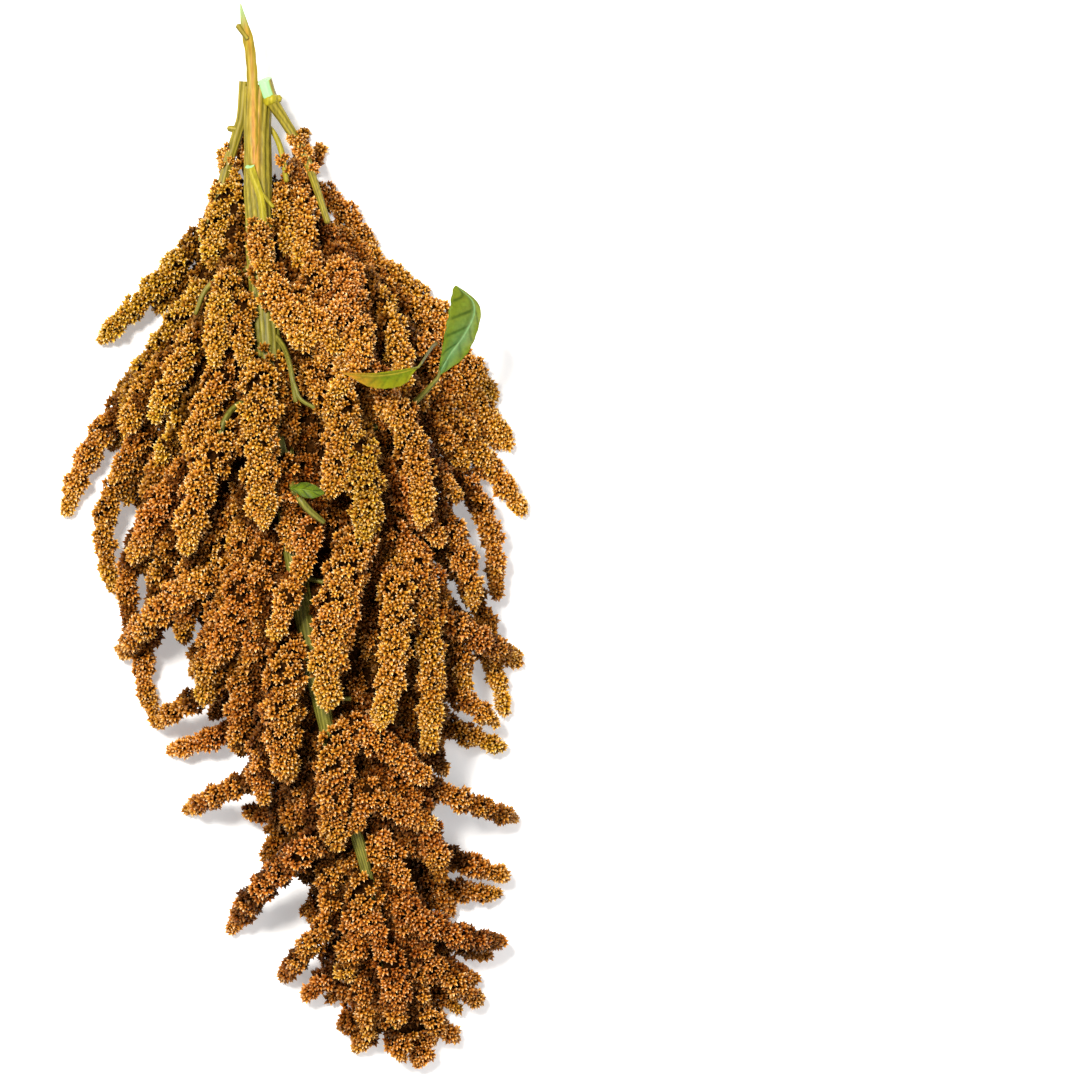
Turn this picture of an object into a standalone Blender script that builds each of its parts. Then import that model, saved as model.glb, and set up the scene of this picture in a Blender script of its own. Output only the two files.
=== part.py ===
"""One seed head of grain amaranth, cut with a short piece of its stalk and laid on a surface.

A ribbed main stalk runs the whole length and thins towards the tip. Bare side stalks leave
it near the cut end, and about two hundred tapering seed spikes leave it all round, packed
into a mound that is pressed flat where it lies. Three small leaves stand among the spikes.

Named sizes are millimetres, and MM turns them into Blender's metres. +Y runs along the
stalk from the tip of the head to the cut end, +X is to the right seen from above, and Z is
up from the surface that the head lies on.
"""

import math
from dataclasses import dataclass

import bmesh
import bpy
import numpy as np
from mathutils import Vector
from mathutils.kdtree import KDTree

MM = 0.001
MIDDLE = (-2.6, 8.8)  # x and y of the drawing that become the part's own origin
GAP = 0.3  # clearance kept between one piece and the next
TINY = 0.001  # points closer than this count as one place
DRAW_BACK = 0.05  # how far a point is moved off another part of the surface
SEED = 7

# The main stalk from the cut end to the tip: x, y, z and radius.
STALK = (
    (-16.8, 190.0, 15.0, 5.2),
    (-16.6, 166.0, 19.5, 5.3),
    (-15.8, 134.0, 28.0, 5.3),
    (-12.5, 95.0, 40.0, 5.4),
    (-7.0, 52.0, 48.5, 4.8),
    (0.0, 0.0, 51.0, 4.1),
    (8.0, -48.0, 48.5, 3.4),
    (18.0, -90.0, 42.5, 2.7),
    (26.0, -118.0, 37.5, 2.3),
    (32.0, -145.0, 32.5, 1.9),
    (39.0, -188.0, 20.0, 1.2),
)
STALK_SIDES = 12
STALK_RINGS = 18
RIB_DEPTH = 0.07  # of the radius

# Bare side stalks, each from its cut or its root outwards: x, y, z and radius.
LEFT_STALK = (
    (-21.9, 193.0, 14.0, 2.4),
    (-22.9, 179.0, 15.0, 2.4),
    (-24.8, 172.0, 15.5, 2.3),
    (-28.8, 159.0, 16.0, 2.0),
    (-33.6, 142.0, 19.0, 1.7),
    (-39.0, 128.0, 23.0, 1.4),
)
RIGHT_STALK = (
    (-14.0, 193.5, 20.5, 2.7),
    (-11.2, 185.0, 20.0, 2.7),
    (-6.0, 176.8, 19.0, 2.1),
    (-1.6, 169.6, 19.0, 1.9),
    (3.0, 161.0, 21.0, 1.7),
    (7.6, 148.0, 27.0, 1.4),
    (12.0, 135.0, 32.0, 1.2),
)
FRONT_SHOOT = (
    (-20.0, 159.6, 25.8, 2.0),
    (-17.6, 153.0, 28.3, 1.7),
    (-15.2, 146.0, 30.3, 1.5),
    (-13.8, 138.0, 32.5, 1.35),
    (-13.0, 126.0, 36.0, 1.2),
    (-12.6, 114.0, 39.4, 1.1),
)
TWIGS = (
    ((-14.8, 147.0, 30.3, 0.9), (-10.0, 141.2, 30.2, 0.75)),  # fork of the front shoot
    ((-24.0, 172.8, 15.5, 1.9), (-28.6, 173.6, 16.0, 1.1)),  # leaf scar on the left stalk
    ((-11.8, 184.6, 20.0, 2.0), (-7.4, 185.4, 20.5, 1.4)),  # node on the right stalk
    ((-20.6, 209.0, 22.6, 0.9), (-24.4, 214.4, 22.8, 1.2)),  # dry knob on the splinter
    ((-9.0, 90.0, 43.0, 1.3), (-4.6, 84.0, 50.0, 1.1), (-1.6, 75.5, 64.0, 1.0), (0.5, 62.6, 66.0, 0.9)),
    ((-0.4, 70.0, 66.2, 0.9), (2.4, 63.6, 67.6, 0.8), (7.8, 60.2, 67.0, 0.7)),
    ((-3.4, 34.0, 49.0, 1.5), (1.0, 26.0, 66.0, 1.5), (5.6, 20.0, 68.0, 1.4), (11.6, 15.0, 66.0, 1.0)),
    (
        (-8.0, 66.0, 46.0, 1.4),
        (-22.0, 62.0, 51.0, 1.3),
        (-28.0, 55.0, 58.0, 1.2),
        (-30.4, 45.0, 59.0, 1.0),
    ),
    (
        (-14.0, 118.0, 32.0, 1.4),
        (-28.0, 114.0, 36.0, 1.2),
        (-36.0, 108.0, 40.0, 1.0),
        (-40.4, 98.0, 40.0, 0.8),
    ),
    ((0.8, -6.0, 51.0, 1.1), (10.8, -8.8, 52.5, 0.9)),
    ((9.0, -54.6, 48.0, 1.1), (21.6, -55.0, 48.5, 0.9)),
    ((-14.0, 176.0, 16.0, 1.0), (-9.8, 171.0, 17.0, 1.1), (-6.6, 162.4, 18.0, 1.2), (-5.0, 152.0, 21.0, 1.0)),
)
SIDE_STALK_SIDES = 6
TWIG_SIDES = 5

# The torn strip of rind: it lies along the stalk and stands on past the cut as a splinter.
# Each row is x, y, z, width and thickness.
SPLINTER = (
    (-17.9, 158.0, 25.9, 3.8, 2.2),
    (-18.3, 172.0, 23.3, 4.5, 2.8),
    (-18.6, 190.0, 20.0, 4.5, 3.2),
    (-19.4, 202.4, 20.3, 4.2, 2.2),
    (-20.5, 209.6, 21.8, 4.2, 1.8),
    (-22.2, 217.0, 23.4, 2.4, 1.3),
    (-23.2, 223.0, 25.0, 0.5, 0.6),
)
SPLINTER_RINGS = 10

# The head at places along it: y, half its width, its height, and half its body's width.
# The body is what lies between the fingers of the outline.
MOUND = (
    (165.0, 12.0, 26.0, 10.0),
    (130.0, 34.0, 44.0, 28.0),
    (92.0, 68.0, 60.0, 52.0),
    (52.0, 84.0, 70.0, 62.0),
    (20.0, 92.0, 74.0, 64.0),
    (-16.0, 82.0, 74.0, 56.0),
    (-56.0, 74.0, 68.0, 46.0),
    (-84.0, 68.0, 61.0, 38.0),
    (-110.0, 63.0, 55.0, 27.0),
    (-142.0, 58.0, 45.0, 26.0),
    (-176.0, 38.0, 34.0, 20.0),
    (-202.0, 16.0, 22.0, 9.0),
)

KNOB_SIDES = 6
THINNED_TO = 7900  # triangles of the joined spikes
KNOB_PITCH = 7.0  # from one ring of knobs to the next along a spike
KNOB_RELIEF = 0.17  # how far knobs stand out and sink in, of the radius
PRESS = 0.5  # how deep the lowest spikes are pressed flat
LOW_LIFT = 0.3  # spikes no higher than this come from under the heart

# The heart, the packed middle that the spikes stand out of.
HEART_WIDTH = 0.8  # of the body's
HEART_HEIGHT = 0.66  # of the mound's
HEART_UNDER = 6.0  # the underside's height over the surface
HEART_RINGS = 16
HEART_TOP, HEART_TIP = 158.0, -190.0  # its ends, along y


@dataclass(frozen=True)
class Spike:
    """A seed spike: where it starts, bends and ends in plan, its thickness, and its lift.

    Lift runs from 0, lying on the surface, to 1, on top of the mound.
    """

    root: tuple
    bend: tuple
    tip: tuple
    girth: float
    lift: float


# Spikes that show from above, from the cut end to the tip.
SHOWN_SPIKES = tuple(
    Spike((a, b), (c, d), (e, f), girth, lift)
    for a, b, c, d, e, f, girth, lift in (
        (-36, 135, -50, 119, -80, 89, 11.0, 0.35),
        (-24, 162, -30, 145, -34, 118, 11.5, 0.75),
        (-24, 122, -30, 99, -32, 78, 11.0, 1.0),
        (-34, 112, -53, 88, -70, 58, 12.0, 0.6),
        (-35, 98, -46, 77, -57, 56, 11.5, 0.85),
        (-58, 84, -68, 74, -75, 63, 7.0, 0.15),
        (-50, 76, -74, 59, -95, 19, 12.0, 0.2),
        (-52, 60, -64, 48, -74, 32, 10.5, 0.4),
        (-33, 72, -45, 56, -55, 39, 10.5, 0.7),
        (-24, 84, -34, 64, -43, 44, 12.0, 0.9),
        (-51, 48, -63, 36, -70, 24, 10.0, 0.2),
        (-53, 25, -77, 23, -75, -12, 10.5, 0.25),
        (-49, 16, -68, 0, -66, -33, 10.5, 0.3),
        (-14, 0, -46, -13, -72, -38, 12.5, 0.7),
        (-21, 60, -33, 40, -43, 4, 15.0, 1.0),
        (-12, 92, -14, 56, -12, 14, 16.0, 1.0),
        (-17, 36, -22, 20, -23, 0, 11.0, 0.7),
        (-14, 16, -14, -8, -14, -32, 12.0, 0.75),
        (-19, 0, -24, -20, -34, -42, 12.5, 0.8),
        (-33, -28, -63, -38, -58, -65, 10.0, 0.15),
        (-14, -42, -35, -52, -58, -66, 10.5, 0.5),
        (-14, -61, -33, -71, -53, -77, 10.5, 0.15),
        (1, -24, -5, -52, -3, -87, 16.0, 1.0),
        (1, -79, -19, -88, -46, -101, 10.0, 0.6),
        (3, -94, -9, -102, -22, -101, 11.0, 0.15),
        (1, -96, -5, -102, -13, -109, 8.0, 0.2),
        (0, -5, -3, -16, -8, -30, 10.0, 0.95),
        (34, 24, 21, -2, 13, -58, 16.0, 1.0),
        (40, 10, 40, -24, 33, -66, 12.5, 0.9),
        (19, -61, 15, -86, 16, -114, 15.5, 1.0),
        (1, -102, -9, -112, -13, -122, 11.0, 0.1),
        (21, -105, -3, -120, -28, -150, 12.5, 0.95),
        (15, -134, 8, -138, 1, -142, 7.0, 0.1),
        (19, -138, 8, -150, -7, -169, 10.5, 0.75),
        (22, -154, 13, -166, 2, -176, 10.0, 0.4),
        (21, -166, 17, -172, 12, -178, 9.0, 0.05),
        (29, -176, 24, -184, 16, -188, 10.0, 0.35),
        (32, -182, 28, -190, 22, -198, 10.0, 0.2),
        (35, -170, 38, -186, 41, -201, 11.0, 0.6),
        (43, -184, 47, -192, 51, -199, 9.0, 0.25),
        (42, -170, 51, -183, 63, -193, 10.0, 0.6),
        (40, -152, 57, -166, 72, -178, 11.0, 0.65),
        (32, -128, 53, -146, 81, -154, 12.0, 0.8),
        (39, -142, 57, -152, 76, -160, 9.0, 0.3),
        (41, -156, 57, -163, 71, -170, 9.0, 0.2),
        (43, -162, 55, -174, 64, -182, 9.0, 0.15),
        (41, -116, 61, -120, 83, -128, 11.0, 0.3),
        (43, -128, 61, -133, 80, -135, 10.0, 0.1),
        (27, -118, 26, -138, 18, -167, 14.0, 0.95),
        (34, -148, 38, -166, 39, -186, 12.5, 0.95),
        (12, -62, 32, -72, 52, -88, 12.0, 0.85),
        (6, -80, 30, -94, 54, -106, 12.0, 0.85),
        (23, -102, 35, -101, 49, -108, 11.0, 0.7),
        (25, -116, 41, -113, 58, -121, 11.0, 0.6),
        (-17, 124, -8, 106, 4, 84, 12.5, 1.0),
        (1, 128, 8, 104, 11, 78, 12.5, 0.9),
        (19, 124, 22, 104, 17, 74, 12.5, 0.95),
        (35, 108, 39, 88, 41, 64, 12.0, 0.8),
        (13, 72, 19, 52, 13, 26, 15.0, 0.95),
        (8, 22, 5, 8, 2, -7, 11.0, 0.85),
        (16, 60, 26, 40, 27, 8, 14.5, 1.0),
        (34, 72, 46, 46, 50, 14, 13.0, 0.85),
        (52, 12, 52, -26, 52, -76, 12.5, 0.8),
        (20, 6, 20, -16, 16, -41, 12.0, 0.95),
        (-12, 92, -5, 70, -3, 44, 10.5, 0.8),
        (-8, 52, -3, 30, -2, 4, 11.0, 0.82),
        (-40, 50, -56, 24, -62, -4, 12.0, 0.45),
        (-36, 30, -51, 6, -58, -24, 12.0, 0.5),
        (-29, 18, -40, -4, -46, -32, 12.0, 0.6),
        (44, 34, 62, 10, 70, -18, 12.5, 0.55),
        (46, -6, 60, -28, 66, -56, 12.5, 0.5),
        (-5, -56, -14, -76, -19, -92, 11.0, 0.6),
        (5, -72, 1, -92, -1, -112, 11.0, 0.7),
        (-2, 152, 2, 138, 0, 118, 11.0, 0.8),
        (8, 150, 18, 140, 30, 122, 10.5, 0.6),
        (14, 128, 40, 112, 66, 90, 12.0, 0.45),
        (20, 112, 48, 98, 78, 66, 12.0, 0.42),
        (28, 96, 58, 78, 84, 46, 12.0, 0.45),
        (26, 84, 52, 66, 78, 34, 12.0, 0.34),
        (-9, 152, -6.5, 140, -5, 124, 9.0, 0.75),
        (-22, 150, -24.5, 142, -26, 128, 8.0, 0.6),
        (0, 154, 0.5, 165, 1.5, 174, 5.5, 0.5),
        (2, 154, 5, 160, 8, 167, 7.0, 0.5),
        (-26, 150, -29, 157, -31.5, 165, 6.5, 0.5),
        (-20, 152, -22.5, 160, -22.5, 172, 5.5, 0.5),
        (30, -84, 27, -96, 23, -107, 9.5, 0.9),
        (27, -136, 31, -146, 33, -158, 9.0, 0.95),
        (40, 84, 60, 69, 80, 46, 11.0, 0.15),
        (-16, 138, -15, 129, -13, 113, 10.5, 1.0),
        (26, 118, 18, 102, 8, 88, 10.5, 1.0),
        (32, 96, 25, 80, 15, 66, 10.5, 1.0),
        (-4, 112, 6, 96, 17, 84, 10.0, 1.0),
        (-20, 110, -22, 94, -20, 78, 11.0, 0.9),
    )
)
# Of those, the ones with a twin across the stalk, by their place in the list.
TWINNED = (0, 3, 4, 6, 7, 9, 10, 11, 12, 13, 19, 20, 21, 23)
TWIN_SCATTER = 5.0

# The spikes that fill the head round and under the ones that show.
FILL_COUNT = 14
FILL_FROM, FILL_TO = 128.0, -178.0  # along y
GOLDEN_ANGLE = math.radians(137.5)
FILL_GIRTH = 13.0
FILL_LEAN = 34.0  # how far a spike runs on towards the tip
FLOOR_COUNT = 14  # spikes on each side that the head lies on
FLOOR_GIRTH = 13.0
THATCH_ROWS = 12
THATCH_FROM, THATCH_STEP = 124.0, 25.0  # along y
THATCH_COLUMNS = (-0.85, -0.55, -0.2, 0.2, 0.55, 0.85)  # shares of the body's half width
THATCH_REACH = 46.5
THATCH_GIRTH = 12.5
THATCH_LIFT = 0.66


@dataclass(frozen=True)
class Leaf:
    """A leaf blade: base and tip in space, outline, fold of its halves, bend, edge wave, colour.

    The outline has a row for each place on the way from base to tip: the share of the way,
    then how far to the right of it the left edge, the rib and the right edge lie.
    """

    name: str
    base: tuple
    tip: tuple
    outline: tuple
    fold: float
    bend: float
    wave: float
    colour: tuple


LONG_OUTLINE = (
    (0.0, -0.4, 0.0, 0.4),
    (0.12, -0.5, 1.3, 5.0),
    (0.25, -0.6, 3.0, 9.0),
    (0.45, -0.7, 6.6, 11.4),
    (0.65, -0.7, 9.0, 12.1),
    (0.78, -0.8, 9.2, 11.6),
    (0.88, -1.0, 7.2, 9.0),
    (0.95, -1.0, 3.0, 4.6),
    (1.0, -0.4, 0.0, 0.4),
)
CURLED_OUTLINE = (
    (0.0, -0.5, -0.1, 0.3),
    (0.06, -2.1, -0.5, 0.2),
    (0.16, -5.4, -1.0, 0.0),
    (0.29, -7.0, -1.5, -0.3),
    (0.44, -7.3, -1.8, -0.6),
    (0.57, -6.9, -1.8, -0.7),
    (0.72, -5.5, -1.3, -0.4),
    (0.84, -3.0, -0.8, -0.1),
    (0.93, -1.2, -0.4, 0.2),
    (1.0, -0.4, 0.0, 0.3),
)
YOUNG_OUTLINE = (
    (0.0, -0.4, 0.0, 0.4),
    (0.15, -1.8, -0.1, 1.3),
    (0.4, -3.1, -0.2, 2.7),
    (0.65, -2.8, 0.0, 2.9),
    (0.85, -1.7, 0.2, 1.9),
    (1.0, -0.4, 0.0, 0.4),
)
LEAVES = (
    Leaf(
        "leaf_long", (56.5, 73.5, 43.5), (63.4, 109.3, 41.0),
        LONG_OUTLINE, 0.25, 3.0, 0.4, (0.12, 0.3, 0.05),
    ),
    Leaf(
        "leaf_curled", (47.8, 76.2, 52.0), (19.3, 73.7, 66.0),
        CURLED_OUTLINE, 0.4, -1.5, 0.2, (0.3, 0.34, 0.05),
    ),
    Leaf(
        "leaf_young", (-1.4, 28.4, 70.0), (12.0, 26.5, 71.5),
        YOUNG_OUTLINE, 0.35, 1.0, 0.15, (0.14, 0.36, 0.04),
    ),
)
LEAF_STALKS = (
    (
        (-4.0, 34.0, 46.0, 1.6),
        (20.0, 48.0, 37.0, 1.5),
        (40.0, 58.0, 35.0, 1.3),
        (49.0, 65.0, 38.5, 1.1),
        (55.8, 71.9, 43.7, 0.8),
    ),
    (
        (-9.0, 84.0, 40.0, 1.4),
        (20.0, 88.0, 20.0, 1.2),
        (46.0, 89.0, 9.0, 1.0),
        (54.4, 87.6, 12.0, 0.9),
        (53.4, 84.8, 33.0, 0.7),
        (49.4, 77.6, 50.4, 0.5),
    ),
    ((1.6, 25.0, 66.4, 1.0), (0.4, 26.2, 68.0, 0.8), (-0.8, 27.0, 69.4, 0.6)),
)
LEAF_THICKNESS = 0.8
LEAF_STEPS = 12
LEAF_VEINS = 6


def smooth_rows(rows, count):
    """Rows of numbers made into count rows on a Catmull-Rom curve through them."""
    rows = np.array(rows, float)
    ends = np.vstack([2 * rows[0] - rows[1], rows, 2 * rows[-1] - rows[-2]])
    places = np.linspace(0, len(rows) - 1, count)
    first = np.minimum(places.astype(int), len(rows) - 2)
    t = (places - first)[:, None]
    a, b, c, d = (ends[first + k] for k in range(4))
    return 0.5 * (
        2 * b + (c - a) * t + (2 * a - 5 * b + 4 * c - d) * t**2 + (3 * b - a - 3 * c + d) * t**3
    )


def stalk_x(y):
    """The main stalk's x at this y."""
    rows = np.array(STALK)[::-1]
    return np.interp(y, rows[:, 1], rows[:, 0])


def body_half(y):
    """Half the body's width at this y."""
    rows = np.array(MOUND)[::-1]
    return np.interp(y, rows[:, 0], rows[:, 3])


def mound_at(x, y):
    """The mound's height over the surface: a half ellipse across the stalk."""
    rows = np.array(MOUND)[::-1]
    half = np.interp(y, rows[:, 0], rows[:, 1])
    height = np.interp(y, rows[:, 0], rows[:, 2])
    across = np.clip((x - stalk_x(y)) / half, -1, 1)
    return height * np.sqrt(1 - across**2)


def heart_at(x, y):
    """The heart's height over the surface: flat on top, with round shoulders."""
    rows = np.array(MOUND)[::-1]
    half = HEART_WIDTH * body_half(y)
    height = HEART_HEIGHT * np.interp(y, rows[:, 0], rows[:, 2])
    across = np.clip(np.abs(x - stalk_x(y)) / half, 0, 1)
    return HEART_UNDER + (height - HEART_UNDER) * (1 - across**3) ** 0.5


def rooted_in_heart(point, reach):
    """A point moved in along its spike until it is within reach of the heart's half width."""
    x, y = point
    limit = reach * HEART_WIDTH * body_half(y)
    away = x - stalk_x(y)
    inwards = max(abs(away) - limit, 0.0)
    return np.array((x - math.copysign(inwards, away), min(y + 0.7 * inwards, HEART_TOP - 4)))


def frames_along(line):
    """Two unit vectors across each point of a line, carried along it without twist."""
    ahead = np.gradient(line, axis=0)
    ahead /= np.linalg.norm(ahead, axis=1)[:, None]
    side = np.cross(ahead[0], (0, 0, 1))
    if np.linalg.norm(side) < 0.1:
        side = np.array((1.0, 0.0, 0.0))
    sides = []
    for direction in ahead:
        side = side - direction * (side @ direction)
        side = side / np.linalg.norm(side)
        sides.append(side)
    sides = np.array(sides)
    return sides, np.cross(sides, ahead)


def tube_mesh(line, radii, nose=0.0):
    """Points and faces of a closed tube. radii has a row for each point and a column for each side.

    nose is how far the far end's middle stands out past its last ring.
    """
    count, sides = radii.shape
    across, up = frames_along(line)
    turn = np.arange(sides) * 2 * math.pi / sides
    rings = line[:, None, :] + radii[:, :, None] * (
        np.cos(turn)[None, :, None] * across[:, None, :]
        + np.sin(turn)[None, :, None] * up[:, None, :]
    )
    way = line[-1] - line[-2]
    way /= np.linalg.norm(way)
    points = np.vstack([rings.reshape(-1, 3), line[0], line[-1] + way * nose])
    start, end = count * sides, count * sides + 1
    faces = []
    for ring in range(count - 1):
        for k in range(sides):
            a, b = ring * sides + k, ring * sides + (k + 1) % sides
            c, d = b + sides, a + sides
            # The diagonal joins two knobs, so that each stands as a ridge and not a dent.
            faces += [(a, b, c), (a, c, d)] if (ring + k) % 2 == 0 else [(a, b, d), (b, c, d)]
    last = (count - 1) * sides
    for k in range(sides):
        faces.append((start, (k + 1) % sides, k))
        faces.append((end, last + k, last + (k + 1) % sides))
    return points, faces


def new_object(name, points, faces):
    """A Blender object of these points, in drawing millimetres, facing outwards."""
    mesh = bpy.data.meshes.new(name)
    shift = np.array((*MIDDLE, 0.0))
    mesh.from_pydata([tuple(p) for p in (np.asarray(points) - shift) * MM], [], faces)
    shape = bmesh.new()
    shape.from_mesh(mesh)
    bmesh.ops.recalc_face_normals(shape, faces=shape.faces)
    shape.to_mesh(mesh)
    shape.free()
    made = bpy.data.objects.new(name, mesh)
    bpy.context.scene.collection.objects.link(made)
    return made


def boolean(target, others, operation):
    """Applies one Boolean of a list of objects to target, then removes those objects."""
    group = bpy.data.collections.new("group")
    for other in others:
        group.objects.link(other)
    modifier = target.modifiers.new("boolean", "BOOLEAN")
    modifier.operation = operation
    modifier.operand_type = "COLLECTION"
    modifier.collection = group
    modifier.solver = "MANIFOLD"
    graph = bpy.context.evaluated_depsgraph_get()
    mesh = bpy.data.meshes.new_from_object(target.evaluated_get(graph))
    target.modifiers.clear()
    target.data = mesh
    for other in others:
        bpy.data.objects.remove(other)
    bpy.data.collections.remove(group)
    return target


def thin_out(target, triangles):
    """Collapses short edges, most of them where spikes meet, down to a number of triangles."""
    target.data.calc_loop_triangles()
    modifier = target.modifiers.new("thin", "DECIMATE")
    modifier.decimate_type = "COLLAPSE"
    modifier.ratio = min(1.0, triangles / len(target.data.loop_triangles))
    graph = bpy.context.evaluated_depsgraph_get()
    mesh = bpy.data.meshes.new_from_object(target.evaluated_get(graph))
    target.modifiers.clear()
    target.data = mesh


def keep_largest_body(target):
    """Drops loose scraps and the walls of sealed hollows, which are bodies of their own."""
    shape = bmesh.new()
    shape.from_mesh(target.data)
    unseen = set(shape.verts)
    bodies = []
    while unseen:
        edge = [unseen.pop()]
        body = set(edge)
        while edge:
            for link in edge.pop().link_edges:
                for vertex in link.verts:
                    if vertex in unseen:
                        unseen.discard(vertex)
                        body.add(vertex)
                        edge.append(vertex)
        bodies.append(body)
    largest = max(bodies, key=len)
    bmesh.ops.delete(shape, geom=[v for v in shape.verts if v not in largest], context="VERTS")
    shape.to_mesh(target.data)
    shape.free()


def part_touches(target):
    """Dissolves tiny edges, and draws points that meet another part of the surface back.

    Such a point moves a little towards the middle of its own neighbours, which opens a
    touch from outside and thickens a wall that has no thickness there.
    """
    shape = bmesh.new()
    shape.from_mesh(target.data)
    bmesh.ops.dissolve_degenerate(shape, dist=TINY * MM, edges=shape.edges)
    shape.verts.ensure_lookup_table()
    tree = KDTree(len(shape.verts))
    for vertex in shape.verts:
        tree.insert(vertex.co, vertex.index)
    tree.balance()
    moves = []
    for vertex in shape.verts:
        if len(tree.find_range(vertex.co, TINY * MM)) > 1:
            around = [edge.other_vert(vertex).co for edge in vertex.link_edges]
            middle = sum(around, Vector()) / len(around)
            moves.append((vertex, (middle - vertex.co).normalized() * DRAW_BACK * MM))
    for vertex, move in moves:
        vertex.co += move
    shape.to_mesh(target.data)
    shape.free()


def finish_surface(target, colour, roughness, smooth_angle=30.0):
    """Gives an object its material and shades it smooth up to an angle."""
    material = bpy.data.materials.new(target.name)
    material.use_nodes = True
    shader = material.node_tree.nodes["Principled BSDF"]
    shader.inputs["Base Color"].default_value = (*colour, 1.0)
    shader.inputs["Roughness"].default_value = roughness
    shader.inputs["Metallic"].default_value = 0.0
    target.data.materials.clear()
    target.data.materials.append(material)
    target.data.shade_smooth()
    target.data.set_sharp_from_angle(angle=math.radians(smooth_angle))


def spike_line(spike, count):
    """A spike's centre line: a parabola in plan, raised by its lift towards the mound's top.

    It starts inside the heart, or for a low spike under the heart and near the stalk.
    """
    root, bend, tip = (np.array(p, float) for p in (spike.root, spike.bend, spike.tip))
    t = np.linspace(0, 1, count)
    low_spike = spike.lift <= LOW_LIFT
    root = rooted_in_heart(root, 0.25 if low_spike else 0.8)
    # The bend is passed at its own share of the way, which keeps the curve even.
    near, far = np.linalg.norm(bend - root), np.linalg.norm(tip - bend)
    share = np.clip(near / (near + far), 0.25, 0.75)
    pull = (bend - (1 - share) ** 2 * root - share**2 * tip) / (2 * share * (1 - share))
    s = t[:, None]
    plan = (1 - s) ** 2 * root + 2 * s * (1 - s) * pull + s**2 * tip
    low = spike_radius(spike, t) - PRESS
    top = mound_at(plan[:, 0], plan[:, 1]) - spike.girth / 2
    height = low + spike.lift * np.maximum(top - low, 0)
    rooted = low[0] if low_spike else heart_at(*root) - 0.45 * spike.girth
    blend = np.clip(t / 0.35, 0, 1)
    blend = blend * blend * (3 - 2 * blend)
    return np.column_stack([plan, rooted + (height - rooted) * blend])


def spike_radius(spike, t):
    """A spike's radius at t from 0, its root, to 1, its blunt tip."""
    return spike.girth / 2 * np.minimum(0.8 + 1.2 * t, 1 - 0.22 * t**2 - 0.3 * t**8)


def spike_object(spike):
    """A spike as a closed body with knobs of seed clusters in staggered rings."""
    length = np.linalg.norm(np.diff(spike_line(spike, 9), axis=0), axis=1).sum()
    count = max(5, round(length / KNOB_PITCH))
    line = spike_line(spike, count)
    t = np.linspace(0, 1, count)
    ring, side = np.meshgrid(np.arange(count), np.arange(KNOB_SIDES), indexing="ij")
    relief = np.where((ring + side) % 2 == 0, 1 + KNOB_RELIEF, 1 - KNOB_RELIEF)
    radii = spike_radius(spike, t)[:, None] * relief
    return new_object("spike", *tube_mesh(line, radii, nose=spike.girth * 0.16))


def twin(spike, draw):
    """The spike's twin across the stalk, with its bend and tip scattered a little."""

    def across(point):
        return 2 * stalk_x(point[1]) - point[0], point[1]

    def scattered(point):
        return tuple(np.array(across(point)) + draw.uniform(-TWIN_SCATTER, TWIN_SCATTER, 2))

    return Spike(
        across(spike.root), scattered(spike.bend), scattered(spike.tip), spike.girth, spike.lift
    )


def fill_spikes(draw):
    """Spikes that leave the stalk by the golden angle, none of them straight up."""
    spikes = []
    for number in range(FILL_COUNT):
        y = FILL_FROM + (FILL_TO - FILL_FROM) * (number + 0.5) / FILL_COUNT
        angle = (number * GOLDEN_ANGLE) % (2 * math.pi)
        out, up = math.cos(angle), math.sin(angle)
        out = math.copysign(max(abs(out), 0.45), out)
        lean = FILL_LEAN * draw.uniform(0.7, 1.2)
        half = body_half(y - lean) * draw.uniform(0.95, 1.2)
        tip = (stalk_x(y - lean) + out * half, y - lean)
        root = (stalk_x(y) + out * 5, y)
        bend = ((root[0] + tip[0]) / 2 + out * 4, (root[1] + tip[1]) / 2 + lean * 0.12)
        lift = 0.36 + 0.36 * up
        spikes.append(Spike(root, bend, tip, FILL_GIRTH * draw.uniform(0.9, 1.1), lift))
    return spikes


def floor_spikes(draw):
    """The spikes that the head lies on: pairs along the stalk, pressed on the surface."""
    spikes = []
    for number in range(2 * FLOOR_COUNT):
        side = (-1, 1)[number % 2]
        y = FILL_FROM + (FILL_TO - FILL_FROM) * (number + 0.5) / (2 * FLOOR_COUNT)
        lean = FILL_LEAN * draw.uniform(0.6, 1.1)
        half = body_half(y - lean) * draw.uniform(0.95, 1.15)
        tip = (stalk_x(y - lean) + side * half, y - lean)
        root = (stalk_x(y) + side * 3, y)
        bend = ((root[0] + tip[0]) / 2 + side * 3, (root[1] + tip[1]) / 2 + lean * 0.15)
        spikes.append(Spike(root, bend, tip, FLOOR_GIRTH * draw.uniform(0.9, 1.1), 0.0))
    return spikes


def thatch_spikes(draw):
    """The spikes between the top ones and the heart: rows that lap each other like thatch."""
    spikes = []
    for row in range(THATCH_ROWS):
        y = THATCH_FROM - THATCH_STEP * row
        wide = body_half(y)
        for column in THATCH_COLUMNS if wide > 40 else THATCH_COLUMNS[1:-1]:
            share = column + 0.07 * (-1) ** row + draw.uniform(-0.06, 0.06)
            reach = THATCH_REACH * draw.uniform(0.8, 1.2) * (1.0 if wide > 40 else 0.8)
            root = (stalk_x(y) + 0.35 * share * wide, y)
            tip = (stalk_x(y - reach) + 1.15 * share * body_half(y - reach), y - reach)
            bend = ((root[0] + tip[0]) / 2 + 4 * share, (root[1] + tip[1]) / 2 + 3)
            girth = THATCH_GIRTH * draw.uniform(0.88, 1.1) * (1.0 if wide > 40 else 0.85)
            spikes.append(Spike(root, bend, tip, girth, THATCH_LIFT + draw.uniform(-0.08, 0.08)))
    return spikes


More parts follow.
